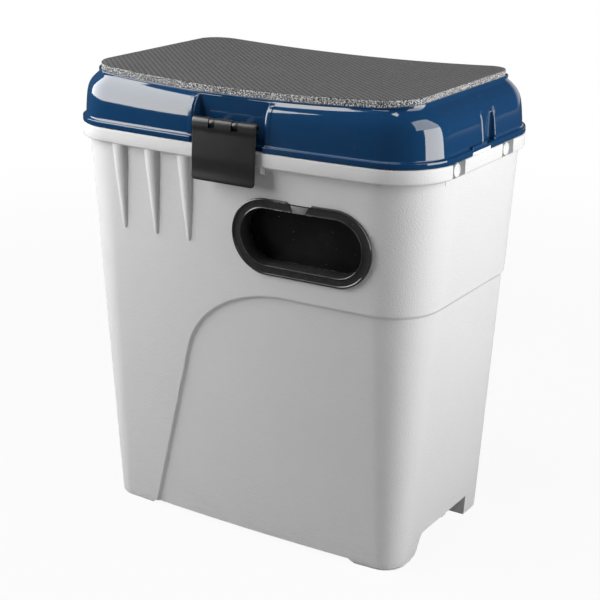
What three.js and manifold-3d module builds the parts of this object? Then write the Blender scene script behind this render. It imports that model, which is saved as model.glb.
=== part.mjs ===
// Fishing seat box: a tapered tub with a hatch in its front, a padded lid hinged at the back, a
// latch hung from the lid and a lift-out tray inside. Lengths are in millimetres, +Z is up, +X is
// to the right seen from the front, and the front faces -Y. The box stands on z = 0.

import * as THREE from 'three';
import { mergeVertices } from 'three/addons/utils/BufferGeometryUtils.js';
import Module from 'manifold-3d';

const wasm = await Module();
wasm.setup();

// Driving sizes of the rim, which the body, the lid and the hinge follow.
const rimLength = 370;
const rimDepth = 222;
const rimRadius = 48;
const rimBow = 7.5;
const rimHeight = 12.5;
const tubHeight = 367.5;

// Walls and clearances.
const wall = 3;
const seatGap = 0.3;
const pinGap = 0.3;
const mergeDepth = 1;
const cutOverrun = 6;

// How finely round shapes are cut into flats.
const cornerSteps = 5;
const sideSteps = 8;
const circleSteps = 20;
const screwSteps = 10;
const endSteps = 9;

// The body narrows from the rim down to its foot.
const rimEndOverhang = 2.5;
const rimSideOverhang = 4;
const bodyTopRadius = 52;
const bodyFootLength = 313;
const bodyFootDepth = 178;
const bodyFootRadius = 21;
const bodyBow = 5;
const footEdge = 2;
const rimEdge = 0.8;
const bodyHeight = tubHeight - rimHeight;
const bodyTopLength = rimLength - 2 * rimEndOverhang;
const bodyTopDepth = rimDepth - 2 * rimSideOverhang;

// The channel under the box leaves a runner at the front and one at the back.
const channelFront = -36;
const channelBack = 49;
const channelHeight = 20;
const channelLeadIn = 22;
const channelRibPlace = 9.5;
const channelRibWidth = 8;
const channelRibHeight = 5;
const liftHeight = 3.5;
const liftLeft = -104;
const liftRight = 109;
const liftRamp = 5;

// The lower body is set back below an arched line that starts at the left of the front.
const panelDepth = 2;
const panelDrop = 115;
const panelFoot = -104;
const panelBend = -53;
const panelBendDrop = 64;
const panelLevel = 52;
const panelLead = 38;
const panelTop = bodyHeight - panelDrop;
const panelBendHeight = panelTop - panelBendDrop;

// Three tapered buttresses under the rim, at the left of the front.
const buttressInset = 14.5;
const buttressPitch = 35.2;
const buttressCount = 3;
const buttressHalfWidth = 8;
const buttressTipHalfWidth = 1;
const buttressDrop = 78;
const buttressStandOff = 5;
const buttressFirst = bodyTopRadius + buttressInset - bodyTopLength / 2;

// A notch on each side of the rim for each strap stud.
const studInset = 16.4;
const studShift = -8.9;
const studPlace = rimDepth / 2 - rimRadius - studInset;
const notchWidth = 22;
const notchDepth = 6;
const notchBacking = 4;
const notchBackingDrop = 17;
const studDiscRadius = 5.6;
const studDiscThickness = 2.6;
const studNeckRadius = 3.6;
const studNeckLength = 1.6;
const studPegRadius = 2;
const studPegLength = 2.6;
const studDrop = 6.8;
const studEdge = 0.5;

// Two guards under the rim beside the latch.
const guardThickness = 4;
const guardDrop = 6;

// The lid: a flange on the rim, a dome above it, and a shallow saddle for the pad.
const flangeHeight = 5.2;
const flangeStep = 3;
const flangeEdge = 0.8;
const lidRise = 46;
const saddleDip = 6;
const lipHeight = 1.6;
const lipWidth = 1.6;
const lipEdge = 0.2;
const padLength = 325;
const padDepth = 192;
const padRadius = 26;
const padBow = 6.5;
const padThickness = 7;
const padEdge = 1;
const padSideGap = 0.5;
const lidRibDepth = 9;
const lidRibThickness = 2.2;
const lidRibPitch = 75;
const lidRibCount = 3;

// How the dome leans in as it rises: a share of its rise, then a share of its lean.
const domeShares = [
  [0, 0],
  [0.25, 0.04],
  [0.5, 0.11],
  [0.75, 0.22],
  [0.88, 0.37],
  [0.95, 0.55],
  [0.99, 0.8],
];

// A recess on each side of the lid, with the flange cut back beside it.
const sideRecessFront = -5;
const sideRecessBack = 16;
const sideRecessDepth = 10.4;
const cutBackFront = -31;
const cutBackBack = 5;
const cutBackHeight = 3.2;
const cutBackDepth = 7;
const cutBackRise = 2;
const cutBackWidth = 3.5;
const tongueGap = 0.6;

// Four lugs under the lid find the inside of the rim.
const lugInset = 7;
const lugWidth = 30;
const lugPlace = rimLength / 2 - rimRadius - lugWidth / 2 - lugInset;
const lugThickness = 2.4;
const lugDrop = 6;
const lugRise = 7;
const lugGap = 0.8;

// The hinge at the back.
const hingeInset = 21;
const hingeWidth = 42;
const hingePlace = rimLength / 2 - rimRadius - hingeWidth / 2 - hingeInset;
const hingeEarWidth = 7;
const hingeReach = 5;
const hingeKnuckleRadius = 4.5;
const hingePinRadius = 2;
const hingeRoot = 9;

// The latch hangs from the lid, and its hook takes the underside of the rim.
const latchWidth = 64;
const latchLength = 49.5;
const latchThickness = 3;
const latchBarrelRadius = 4.2;
const latchAxisHeight = 20;
const latchClearance = 0.7;
const latchCorner = 3.5;
const latchHookWidth = 44;
const latchHookReach = 1.5;
const latchHookDepth = 4.5;
const latchHookGap = 0.5;
const latchRestDegrees = 3.5;
const latchPinRadius = 1.5;
const latchPinInset = 1;
const latchLugPlace = 11.6;
const latchLugWidth = 6;
const latchLugRadius = 3.6;
const latchLugSag = 5.5;
const latchSlotGap = 0.35;
const latchSideGap = 3.5;
const latchRecessDepth = 13.5;
const latchNotchDepth = 4.5;

// The hatch: a bezel and tunnel in the front wall, a clamp ring behind and a hanging flap.
const hatchPlace = 68;
const hatchDrop = 61;
const hatchHeight = bodyHeight - hatchDrop;
const hatchLength = 117;
const hatchWidth = 50;
const hatchBezel = 9;
const hatchProud = 2;
const hatchBevel = 1.6;
const hatchTunnelWall = 2;
const hatchTunnelDepth = 14;
const hatchHoleGap = 0.4;
const ringThickness = 3;
const ringMargin = 8;
const scoopWidth = 24;
const scoopFloor = 10;
const scoopDepth = 4;
const flapThickness = 2.4;
const flapRim = 2;
const flapLip = 1.6;
const flapAxisRise = 4.2;
const flapKnuckleRadius = 3;
const flapPinRadius = 1.3;
const flapKnucklePlace = 24;
const flapKnuckleWidth = 8;
const screwPlace = 40;
const screwRadius = 1.2;
const screwHeadRadius = 2.3;
const screwHeadHeight = 1.6;
const screwBite = 1.2;
const screwGap = 0.3;

// The tray lies on two ledges inside the tub.
const trayDrop = 8.5;
const trayTop = tubHeight - trayDrop;
const trayHeight = 28;
const trayClearance = 9;
const trayWall = 2;
const trayFloor = 2.5;
const trayLongWall = 6;
const trayCrossWall = 62;
const trayGripRadius = 14;
const trayGripDrop = 4;
const ledgeReach = 16;
const ledgeWidth = 100;
const ledgeThickness = 3;
const dividerPitch = 82;
const dividerCount = 3;
const dividerThickness = 2;
const dividerDrop = 2;
const railHeight = 3;
const railWidth = 1.5;

const materials = {
  tub: new THREE.MeshStandardMaterial({ color: 0xcdcfd0, roughness: 0.65, metalness: 0 }),
  lid: new THREE.MeshStandardMaterial({ color: 0x153e70, roughness: 0.2, metalness: 0 }),
  pad: new THREE.MeshStandardMaterial({ color: 0x6c6d6f, roughness: 0.95, metalness: 0 }),
  latch: new THREE.MeshStandardMaterial({ color: 0x2f3032, roughness: 0.55, metalness: 0 }),
  hatch: new THREE.MeshStandardMaterial({ color: 0x17181a, roughness: 0.25, metalness: 0 }),
  tray: new THREE.MeshStandardMaterial({ color: 0xb9bcbe, roughness: 0.6, metalness: 0 }),
  steel: new THREE.MeshStandardMaterial({ color: 0xa9adb0, roughness: 0.3, metalness: 1 }),
};

const box = new THREE.Group();

function addNode(name, solid, material, parent = box) {
  const mesh = new THREE.Mesh(geometryFrom(solid), material);
  mesh.name = name;
  parent.add(mesh);
  return mesh;
}

// Turn a closed geometry into a solid that can be cut and joined, and back again.
function solidFrom(geometry) {
  const bare = geometry.clone();
  bare.deleteAttribute('normal');
  bare.deleteAttribute('uv');
  const merged = mergeVertices(bare, wall * 1e-5);
  const mesh = new wasm.Mesh({
    numProp: 3,
    vertProperties: new Float32Array(merged.attributes.position.array),
    triVerts: new Uint32Array(merged.index.array),
  });
  return new wasm.Manifold(mesh);
}

function geometryFrom(solid) {
  const mesh = solid.getMesh();
  const geometry = new THREE.BufferGeometry();
  geometry.setAttribute('position', new THREE.BufferAttribute(mesh.vertProperties, 3));
  geometry.setIndex(new THREE.BufferAttribute(mesh.triVerts, 1));
  geometry.computeVertexNormals();
  return geometry;
}

// A rectangle in plan with round corners, its front and back bowed outward. It starts at the left
// end of the front and runs anticlockwise, so its first and last halves mirror each other.
function planOutline({ length, depth, radius, bow }) {
  const points = [];
  const corners = [[-1, -1, 2], [1, -1, 3], [1, 1, 0], [-1, 1, 1]];
  corners.forEach(([sideX, sideY, quarter], index) => {
    for (let step = 0; step <= cornerSteps; step += 1) {
      const angle = (quarter + step / cornerSteps) * Math.PI / 2;
      points.push(new THREE.Vector2(
        sideX * (length / 2 - radius) + radius * Math.cos(angle),
        sideY * (depth / 2 - radius) + radius * Math.sin(angle),
      ));
    }
    if (index % 2 === 0) {
      const last = points[points.length - 1];
      for (let step = 1; step < sideSteps; step += 1) {
        points.push(new THREE.Vector2(last.x * (1 - 2 * step / sideSteps), last.y));
      }
    }
  });
  const bowed = (point) => point.y * (1 + (2 * bow / depth) * (1 - (2 * point.x / length) ** 2));
  return points.map((point) => new THREE.Vector2(point.x, bowed(point)));
}

// How far a surface at x lies below its ends, for the saddle of the seat.
function saddleAt(x) {
  return saddleDip * Math.max(0, 1 - (2 * x / padLength) ** 2);
}

function ring(plan, z, dipShare = 0) {
  const raise = (point) => z - dipShare * saddleAt(point.x);
  return planOutline(plan).map((point) => new THREE.Vector3(point.x, point.y, raise(point)));
}

// A closed skin over rings of equally many points, listed from the bottom up.
function loft(rings) {
  const count = rings[0].length;
  const index = [];
  for (let level = 0; level < rings.length - 1; level += 1) {
    for (let step = 0; step < count; step += 1) {
      const a = level * count + step;
      const b = level * count + (step + 1) % count;
      index.push(a, b, b + count, a, b + count, a + count);
    }
  }
  const top = (rings.length - 1) * count;
  for (let front = 0; front < count / 2 - 1; front += 1) {
    const back = count - 1 - front;
    index.push(front, back, front + 1, front + 1, back, back - 1);
    index.push(top + front, top + front + 1, top + back);
    index.push(top + front + 1, top + back - 1, top + back);
  }
  const geometry = new THREE.BufferGeometry();
  const places = new Float32Array(rings.flat().flatMap((point) => [point.x, point.y, point.z]));
  geometry.setAttribute('position', new THREE.BufferAttribute(places, 3));
  geometry.setIndex(index);
  return geometry;
}

// A prism of a flat outline along one axis. Along X the outline is in Y and Z, along Y it is in
// X and Z, and along Z it is in X and Y.
function prismGeometry(shape, axis, from, to) {
  const settings = { depth: to - from, bevelEnabled: false, curveSegments: endSteps };
  const geometry = new THREE.ExtrudeGeometry(shape, settings);
  const x = new THREE.Vector3(1, 0, 0);
  const y = new THREE.Vector3(0, 1, 0);
  const z = new THREE.Vector3(0, 0, 1);
  if (axis === 'x') {
    geometry.applyMatrix4(new THREE.Matrix4().makeBasis(y, z, x));
    geometry.translate(from, 0, 0);
  } else if (axis === 'y') {
    geometry.applyMatrix4(new THREE.Matrix4().makeBasis(x, z, y.negate()));
    geometry.translate(0, to, 0);
  } else {
    geometry.translate(0, 0, from);
  }
  return geometry;
}

function prism(shape, axis, from, to) {
  return solidFrom(prismGeometry(shape, axis, from, to));
}

function polygon(points) {
  return new THREE.Shape(points.map(([u, v]) => new THREE.Vector2(u, v)));
}

function block(x0, x1, y0, y1, z0, z1) {
  const geometry = new THREE.BoxGeometry(x1 - x0, y1 - y0, z1 - z0);
  geometry.translate((x0 + x1) / 2, (y0 + y1) / 2, (z0 + z1) / 2);
  return solidFrom(geometry);
}

// A round bar along an axis, through the point (u, v) of the plane across it.
function bar(axis, radius, u, v, from, to, steps = circleSteps) {
  const points = [];
  for (let step = 0; step < steps; step += 1) {
    const angle = 2 * Math.PI * step / steps;
    points.push([u + radius * Math.cos(angle), v + radius * Math.sin(angle)]);
  }
  return prism(polygon(points), axis, from, to);
}

// A slot outline with half-round ends, lying along X in the plane of X and Z.
function slotShape(length, width) {
  const radius = width / 2;
  const centre = length / 2 - radius;
  const shape = new THREE.Shape();
  shape.absarc(centre, 0, radius, -Math.PI / 2, Math.PI / 2);
  shape.absarc(-centre, 0, radius, Math.PI / 2, 1.5 * Math.PI);
  shape.closePath();
  return shape;
}

function slotPrism(length, width, from, to) {
  return prism(slotShape(length, width), 'y', from, to);
}

// The body's plan at a height, drawn in by an inset.
function bodyPlan(z, inset = 0) {
  const share = z / bodyHeight;
  const between = (foot, top) => foot + (top - foot) * share;
  return {
    length: between(bodyFootLength, bodyTopLength) - 2 * inset,
    depth: between(bodyFootDepth, bodyTopDepth) - 2 * inset,
    radius: between(bodyFootRadius, bodyTopRadius) - inset,
    bow: bodyBow,
  };
}

function rimPlan(inset = 0) {
  return {
    length: rimLength - 2 * inset,
    depth: rimDepth - 2 * inset,
    radius: rimRadius - inset,
    bow: rimBow,
  };
}

// Half the plan's depth at x, which is how far its front or back lies from the middle.
function reach(plan, x) {
  return plan.depth / 2 + plan.bow * (1 - (2 * x / plan.length) ** 2);
}

function bodyLoft(inset, from, to, matrix = new THREE.Matrix4()) {
  const geometry = loft([ring(bodyPlan(from, inset), from), ring(bodyPlan(to, inset), to)]);
  return solidFrom(geometry.applyMatrix4(matrix));
}

// The frame of the hatch: its Y runs inward through the front wall, and its Z runs up the wall.
const hatchWallPlan = bodyPlan(hatchHeight);
const draftAngle = Math.atan((bodyTopDepth - bodyFootDepth) / 2 / bodyHeight);
const bowAngle = Math.atan(8 * bodyBow * hatchPlace / hatchWallPlan.length ** 2);
const hatchFrame = new THREE.Group();
hatchFrame.position.set(hatchPlace, -reach(hatchWallPlan, hatchPlace), hatchHeight);
hatchFrame.rotation.set(draftAngle, 0, bowAngle, 'ZXY');
hatchFrame.updateMatrix();
const toHatch = hatchFrame.matrix.clone().invert();
const hatchTunnelLength = hatchLength + 2 * hatchTunnelWall;
const hatchTunnelWidth = hatchWidth + 2 * hatchTunnelWall;
const screwRise = (hatchTunnelWidth / 2 + hatchWidth / 2 + hatchBezel) / 2;
const screwSpots = [[-screwPlace, -screwRise], [screwPlace, -screwRise],
  [-screwPlace, screwRise], [screwPlace, screwRise]];

// The line of the latch and the catch on the rim.
const rimFront = -reach(rimPlan(), 0);
const flangeBottom = tubHeight + seatGap;
const latchAxisZ = tubHeight + latchAxisHeight;
const latchAxisY = rimFront - latchClearance - latchThickness + latchBarrelRadius;
const hingeAxisY = -rimFront + hingeReach;
const hingeAxisZ = tubHeight + seatGap / 2;
const seatHeight = flangeBottom + lidRise;

// The tub
function makeTub() {
  const foot = ring(bodyPlan(0, footEdge), 0);
  const edge = ring(bodyPlan(footEdge), footEdge);
  const top = ring(bodyPlan(bodyHeight), bodyHeight);
  const full = solidFrom(loft([foot, edge, top]));
  const setBackFoot = ring(bodyPlan(0, footEdge + panelDepth), 0);
  const setBackEdge = ring(bodyPlan(footEdge, panelDepth), footEdge);
  const setBackTop = ring(bodyPlan(bodyHeight, panelDepth), bodyHeight);
  const setBack = solidFrom(loft([setBackFoot, setBackEdge, setBackTop]));
  let outer = full.subtract(panelPrism()).add(setBack);

  const rimRings = [
    ring(rimPlan(rimEdge), bodyHeight),
    ring(rimPlan(), bodyHeight + rimEdge),
    ring(rimPlan(), tubHeight - rimEdge),
    ring(rimPlan(rimEdge / 2), tubHeight),
  ];
  outer = outer.add(solidFrom(loft(rimRings)));
  for (let number = 0; number < buttressCount; number += 1) {
    outer = outer.add(buttress(buttressFirst + number * buttressPitch));
  }
  for (const side of [-1, 1]) {
    outer = outer.add(latchGuard(side));
    outer = outer.add(hingeEars(side * hingePlace));
  }

  const floorTop = liftHeight + wall;
  const cavity = bodyLoft(wall + panelDepth, floorTop, panelTop + wall + mergeDepth)
    .add(bodyLoft(wall, panelTop + wall, tubHeight + cutOverrun))
    .subtract(channelPrism(wall));
  let tub = outer.subtract(cavity);
  tub = tub.subtract(channelPrism(0)).subtract(liftPrism());
  tub = tub.add(channelRib());
  for (const side of [-1, 1]) {
    tub = tub.add(trayLedge(side));
    for (const end of [-1, 1]) {
      tub = tub.add(notchBack(side, studShift + end * studPlace));
      tub = tub.subtract(studNotch(side, studShift + end * studPlace));
    }
    tub = tub.add(rimTongue(side));
  }
  return tub.subtract(hatchHole());
}

// Everything below the arched line, through the whole depth of the box.
function panelPrism() {
  const far = rimLength / 2 + cutOverrun;
  const shape = new THREE.Shape();
  shape.moveTo(panelFoot, -cutOverrun);
  shape.lineTo(far, -cutOverrun);
  shape.lineTo(far, panelTop);
  shape.lineTo(panelLevel, panelTop);
  const run = panelBend - panelFoot;
  const rise = panelBendHeight + cutOverrun;
  const lead = panelLead / Math.hypot(run, rise);
  shape.bezierCurveTo(
    (panelLevel + panelBend) / 2, panelTop,
    panelBend + lead * run, panelBendHeight + lead * rise,
    panelBend, panelBendHeight,
  );
  shape.closePath();
  return prism(shape, 'y', -rimDepth, rimDepth);
}

// The channel under the floor, or with a margin, the room that the floor over it takes up.
function channelPrism(margin) {
  const top = channelHeight + margin;
  const shape = new THREE.Shape();
  shape.moveTo(channelFront - channelLeadIn - margin, -cutOverrun);
  shape.lineTo(channelFront - channelLeadIn - margin, 0);
  shape.bezierCurveTo(
    channelFront - channelLeadIn / 4 - margin, 0,
    channelFront - channelLeadIn / 2 - margin, top,
    channelFront - margin, top,
  );
  shape.lineTo(channelBack + margin, top);
  shape.lineTo(channelBack + margin, -cutOverrun);
  shape.closePath();
  return prism(shape, 'x', -rimLength, rimLength);
}

// The front and back edges are lifted a little between the feet.
function liftPrism() {
  const shape = polygon([
    [liftLeft - liftRamp, -cutOverrun],
    [liftRight + liftRamp, -cutOverrun],
    [liftRight + liftRamp, 0],
    [liftRight, liftHeight],
    [liftLeft, liftHeight],
    [liftLeft - liftRamp, 0],
  ]);
  return prism(shape, 'y', -rimDepth, rimDepth);
}

function channelRib() {
  const half = bodyPlan(channelHeight, wall + panelDepth).length / 2;
  const low = channelHeight - channelRibHeight;
  return block(
    -half, half,
    channelRibPlace - channelRibWidth / 2, channelRibPlace + channelRibWidth / 2,
    low, channelHeight + mergeDepth,
  );
}

// A half cone that stands out of the wall under the rim and runs down to a point.
function buttress(x) {
  const section = (z, halfWidth, standOff) => {
    const wallY = -reach(bodyPlan(z), x);
    const points = [];
    for (let step = 0; step < circleSteps; step += 1) {
      const angle = Math.PI + 2 * Math.PI * (step + 1 / 2) / circleSteps;
      const y = Math.sin(angle) * (Math.sin(angle) < 0 ? standOff : wall / 2);
      points.push(new THREE.Vector3(x + halfWidth * Math.cos(angle), wallY + y, z));
    }
    return points;
  };
  const tip = buttressTipHalfWidth;
  const rings = [
    section(bodyHeight - buttressDrop, tip, tip / 2),
    section(bodyHeight + mergeDepth, buttressHalfWidth, buttressStandOff),
  ];
  return solidFrom(loft(rings));
}

function latchGuard(side) {
  const inner = latchWidth / 2 + latchSideGap / 2;
  const wallY = -reach(bodyPlan(bodyHeight), inner);
  const shape = polygon([
    [wallY + mergeDepth, bodyHeight + mergeDepth],
    [wallY + mergeDepth, bodyHeight - guardDrop - guardDrop / 2],
    [rimFront + rimEdge + mergeDepth / 2, bodyHeight - guardDrop],
    [rimFront + rimEdge + mergeDepth / 2, bodyHeight + mergeDepth],
  ]);
  const from = side > 0 ? inner : -inner - guardThickness;
  return prism(shape, 'x', from, from + guardThickness);
}

// Ears of one hinge: a plate at each end with the pin's bore through it.
function hingeEars(x) {
  const root = reach(rimPlan(), x) - mergeDepth;
  const shape = polygon([
    [root, bodyHeight + rimEdge],
    [hingeAxisY - hingeKnuckleRadius, hingeAxisZ - hingeRoot],
    [hingeAxisY + hingeKnuckleRadius * Math.cos(Math.PI / 4),
      hingeAxisZ - hingeKnuckleRadius * Math.sin(Math.PI / 4)],
    [hingeAxisY, hingeAxisZ],
    [hingeAxisY - hingeKnuckleRadius, tubHeight - rimEdge],
    [root, tubHeight - rimEdge],
  ]);
  let ears = null;
  for (const end of [-1, 1]) {
    const middle = x + end * (hingeWidth - hingeEarWidth) / 2;
    const from = middle - hingeEarWidth / 2;
    const to = middle + hingeEarWidth / 2;
    const ear = prism(shape, 'x', from, to)
      .add(bar('x', hingeKnuckleRadius, hingeAxisY, hingeAxisZ, from, to))
      .subtract(bar('x', hingePinRadius + pinGap, hingeAxisY, hingeAxisZ, from - cutOverrun, to + cutOverrun));
    ears = ears ? ears.add(ear) : ear;
  }
  return ears;
}

function trayLedge(side) {
  const top = trayTop - trayHeight - seatGap;
  const inner = bodyPlan(top, wall).length / 2;
  const shape = polygon([
    [side * (inner + mergeDepth), top],
    [side * (inner + mergeDepth), top - ledgeThickness - ledgeReach],
    [side * (inner - ledgeReach), top - ledgeThickness],
    [side * (inner - ledgeReach), top],
  ]);
  return prism(shape, 'y', -ledgeWidth / 2, ledgeWidth / 2);
}

const notchFace = rimLength / 2 - notchDepth;
const studHeight = tubHeight - studDrop;

function studNotch(side, y) {
  const outer = rimLength / 2 + cutOverrun;
  const low = bodyHeight - rimEdge;
  const notch = block(
    notchFace, outer,
    y - notchWidth / 2, y + notchWidth / 2,
    low, tubHeight + cutOverrun,
  );
  const peg = bar('x', studPegRadius + pinGap, y, studHeight, notchFace - studPegLength - pinGap, outer);
  return side > 0 ? notch.add(peg) : mirrorX(notch.add(peg));
}

function notchBack(side, y) {
  const inner = notchFace - notchBacking;
  const half = notchWidth / 2 + wall;
  const backing = block(
    inner, notchFace + wall / 2,
    y - half, y + half,
    tubHeight - notchBackingDrop, tubHeight,
  );
  return side > 0 ? backing : mirrorX(backing);
}

// The same solid on the left of the box.
function mirrorX(solid) {
  const geometry = geometryFrom(solid);
  const places = geometry.attributes.position;
  for (let number = 0; number < places.count; number += 1) {
    places.setX(number, -places.getX(number));
  }
  const index = geometry.index.array;
  for (let number = 0; number < index.length; number += 3) {
    [index[number], index[number + 1]] = [index[number + 1], index[number]];
  }
  return solidFrom(geometry);
}

function hatchHole() {
  const length = hatchTunnelLength + 2 * hatchHoleGap;
  const width = hatchTunnelWidth + 2 * hatchHoleGap;
  const shape = prismGeometry(slotShape(length, width), 'y', -cutOverrun, wall + cutOverrun);
  let hole = solidFrom(shape.applyMatrix4(hatchFrame.matrix));
  for (const [x, z] of screwSpots) {
    const screw = new THREE.CylinderGeometry(
      screwRadius + screwGap, screwRadius + screwGap, wall + 2 * cutOverrun, screwSteps,
    );
    screw.translate(x, 0, z);
    hole = hole.add(solidFrom(screw.applyMatrix4(hatchFrame.matrix)));
  }
  return hole;
}

// The lid
function lidPlan(inset, leanShare) {
  const lipOuter = lipWidth + padSideGap;
  const endLean = (rimLength - padLength) / 2 - lipOuter - flangeStep;
  const sideLean = (rimDepth - padDepth) / 2 - lipOuter - flangeStep;
  const topRadius = padRadius + lipOuter;
  return {
    length: rimLength - 2 * (inset + leanShare * endLean),
    depth: rimDepth - 2 * (inset + leanShare * sideLean),
    radius: rimRadius - inset + leanShare * (topRadius - rimRadius + flangeStep),
    bow: rimBow + leanShare * (padBow - rimBow),
  };
}

function lidOuter() {
  const domeFoot = flangeBottom + flangeHeight;
  const domeRise = seatHeight - domeFoot;
  const rings = [
    ring(rimPlan(flangeEdge), flangeBottom),
    ring(rimPlan(), flangeBottom + flangeEdge),
    ring(rimPlan(), domeFoot - flangeEdge),
    ring(rimPlan(flangeEdge), domeFoot),
  ];
  for (const [riseShare, leanShare] of domeShares) {
    const dipShare = riseShare ** 2;
    rings.push(ring(lidPlan(flangeStep, leanShare), domeFoot + riseShare * domeRise, dipShare));
  }
  rings.push(ring(lidPlan(flangeStep, 1), seatHeight, 1));
  rings.push(ring(lidPlan(flangeStep + lipEdge, 1), seatHeight + lipHeight, 1));
  rings.push(ring(lidPlan(flangeStep + lipWidth - lipEdge, 1), seatHeight + lipHeight, 1));
  rings.push(ring(lidPlan(flangeStep + lipWidth, 1), seatHeight, 1));
  return solidFrom(loft(rings));
}

function lidInner() {
  const domeFoot = flangeBottom + flangeHeight;
  const domeRise = seatHeight - wall - domeFoot;
  const rings = [ring(lidPlan(flangeStep + wall, 0), flangeBottom - cutOverrun)];
  for (const [riseShare, leanShare] of domeShares) {
    const dipShare = riseShare ** 2;
    rings.push(ring(lidPlan(flangeStep + wall, leanShare), domeFoot + riseShare * domeRise, dipShare));
  }
  rings.push(ring(lidPlan(flangeStep + wall, 1), seatHeight - wall, 1));
  return solidFrom(loft(rings));
}

const latchRecessHalf = latchWidth / 2 + latchSideGap;
const latchRecessY = rimFront + latchRecessDepth;

// The recess that the latch lies in, or with a margin, the wall behind it too.
function latchRecess(margin) {
  return block(
    -latchRecessHalf - margin, latchRecessHalf + margin,
    rimFront - cutOverrun, latchRecessY + margin,
    flangeBottom + wall - margin, seatHeight + cutOverrun,
  );
}

function sideRecess(side, margin) {
  const inner = rimLength / 2 - sideRecessDepth - margin;
  const recess = block(
    inner, rimLength / 2 + cutOverrun,
    sideRecessFront - margin, sideRecessBack + margin,
    flangeBottom + wall - margin, seatHeight + cutOverrun,
  );
  return side > 0 ? recess : mirrorX(recess);
}

function flangeCutBack(side) {
  const cut = block(
    rimLength / 2 - cutBackDepth, rimLength / 2 + cutOverrun,
    cutBackFront, cutBackBack,
    flangeBottom - cutOverrun, flangeBottom + cutBackHeight,
  );
  return side > 0 ? cut : mirrorX(cut);
}

// A tongue on the rim that fills the cut in the flange.
function rimTongue(side) {
  const tongue = block(
    rimLength / 2 - cutBackDepth + tongueGap, rimLength / 2 - tongueGap,
    cutBackFront + tongueGap, cutBackBack - tongueGap,
    tubHeight - mergeDepth, flangeBottom + cutBackHeight - tongueGap,
  );
  return side > 0 ? tongue : mirrorX(tongue);
}

function flangeRise(side) {
  const top = flangeBottom + flangeHeight;
  const rise = block(
    rimLength / 2 - cutBackWidth, rimLength / 2,
    cutBackFront, sideRecessFront,
    top - flangeEdge - mergeDepth, top + cutBackRise,
  );
  return side > 0 ? rise : mirrorX(rise);
}

// A lug that hangs from the lid's wall just inside the rim, at the front or the back.
function findingLug(x, end) {
  const rimInside = reach(bodyPlan(bodyHeight, wall), Math.abs(x) + lugWidth / 2);
  const outer = rimInside - lugGap;
  const wallInside = reach(lidPlan(flangeStep + wall, 0), x) + mergeDepth;
  const shape = polygon([
    [end * (outer - lugThickness), tubHeight - lugDrop],
    [end * outer, tubHeight - lugDrop],
    [end * outer, flangeBottom],
    [end * wallInside, flangeBottom],
    [end * wallInside, flangeBottom + lugRise],
    [end * (outer - lugThickness), flangeBottom + lugThickness],
  ]);
  return prism(shape, 'x', x - lugWidth / 2, x + lugWidth / 2);
}

function lidKnuckle(x) {
  const root = reach(rimPlan(), x) - flangeStep;
  const low = flangeBottom + seatGap;
  const shape = polygon([
    [root, low],
    [hingeAxisY - hingeKnuckleRadius / 2, low],
    [hingeAxisY, hingeAxisZ],
    [hingeAxisY, hingeAxisZ + hingeKnuckleRadius],
    [root, flangeBottom + flangeHeight - flangeEdge],
  ]);
  const half = hingeWidth / 2 - hingeEarWidth - pinGap;
  return prism(shape, 'x', x - half, x + half)
    .add(bar('x', hingeKnuckleRadius, hingeAxisY, hingeAxisZ, x - half, x + half))
    .subtract(bar('x', hingePinRadius + pinGap, hingeAxisY, hingeAxisZ, x - hingeWidth, x + hingeWidth));
}

// An arm from the back of the latch recess to the latch's pin.
function latchLug(side) {
  const x = side * latchLugPlace;
  const from = x - latchLugWidth / 2;
  const to = x + latchLugWidth / 2;
  const shape = polygon([
    [latchRecessY + mergeDepth, latchAxisZ - latchLugRadius - latchLugSag],
    [latchRecessY + mergeDepth, latchAxisZ + latchLugRadius - latchLugSag],
    [latchAxisY, latchAxisZ + latchLugRadius],
    [latchAxisY, latchAxisZ - latchLugRadius],
  ]);
  return prism(shape, 'x', from, to)
    .add(bar('x', latchLugRadius, latchAxisY, latchAxisZ, from, to))
    .subtract(bar('x', latchPinRadius + pinGap, latchAxisY, latchAxisZ, from - cutOverrun, to + cutOverrun));
}

function lidRibs(outer) {
  let ribs = null;
  const top = seatHeight - wall / 2;
  const low = seatHeight - wall - lidRibDepth - saddleDip;
  for (let number = 0; number < lidRibCount; number += 1) {
    const x = (number - (lidRibCount - 1) / 2) * lidRibPitch;
    const rib = block(x - lidRibThickness / 2, x + lidRibThickness / 2, -rimDepth, rimDepth, low, top);
    ribs = ribs ? ribs.add(rib) : rib;
  }
  const spine = block(-rimLength, rimLength, -lidRibThickness / 2, lidRibThickness / 2, low, top);
  return ribs.add(spine).intersect(outer);
}

function makeLid() {
  const outer = lidOuter();
  let hollow = lidInner().subtract(latchRecess(wall));
  let lid = outer;
  for (const side of [-1, 1]) {
    hollow = hollow.subtract(sideRecess(side, wall));
    lid = lid.add(flangeRise(side));
  }
  lid = lid.subtract(hollow).add(lidRibs(outer)).subtract(latchRecess(0));
  const notch = block(
    -latchRecessHalf, latchRecessHalf,
    rimFront - cutOverrun, rimFront + latchNotchDepth,
    flangeBottom - cutOverrun, flangeBottom + flangeHeight + wall,
  );
  lid = lid.subtract(notch);
  for (const side of [-1, 1]) {
    lid = lid.subtract(sideRecess(side, 0)).subtract(flangeCutBack(side));
    lid = lid.add(latchLug(side)).add(lidKnuckle(side * hingePlace));
    for (const end of [-1, 1]) {
      lid = lid.add(findingLug(side * lugPlace, end));
    }
  }
  return lid;
}

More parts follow.
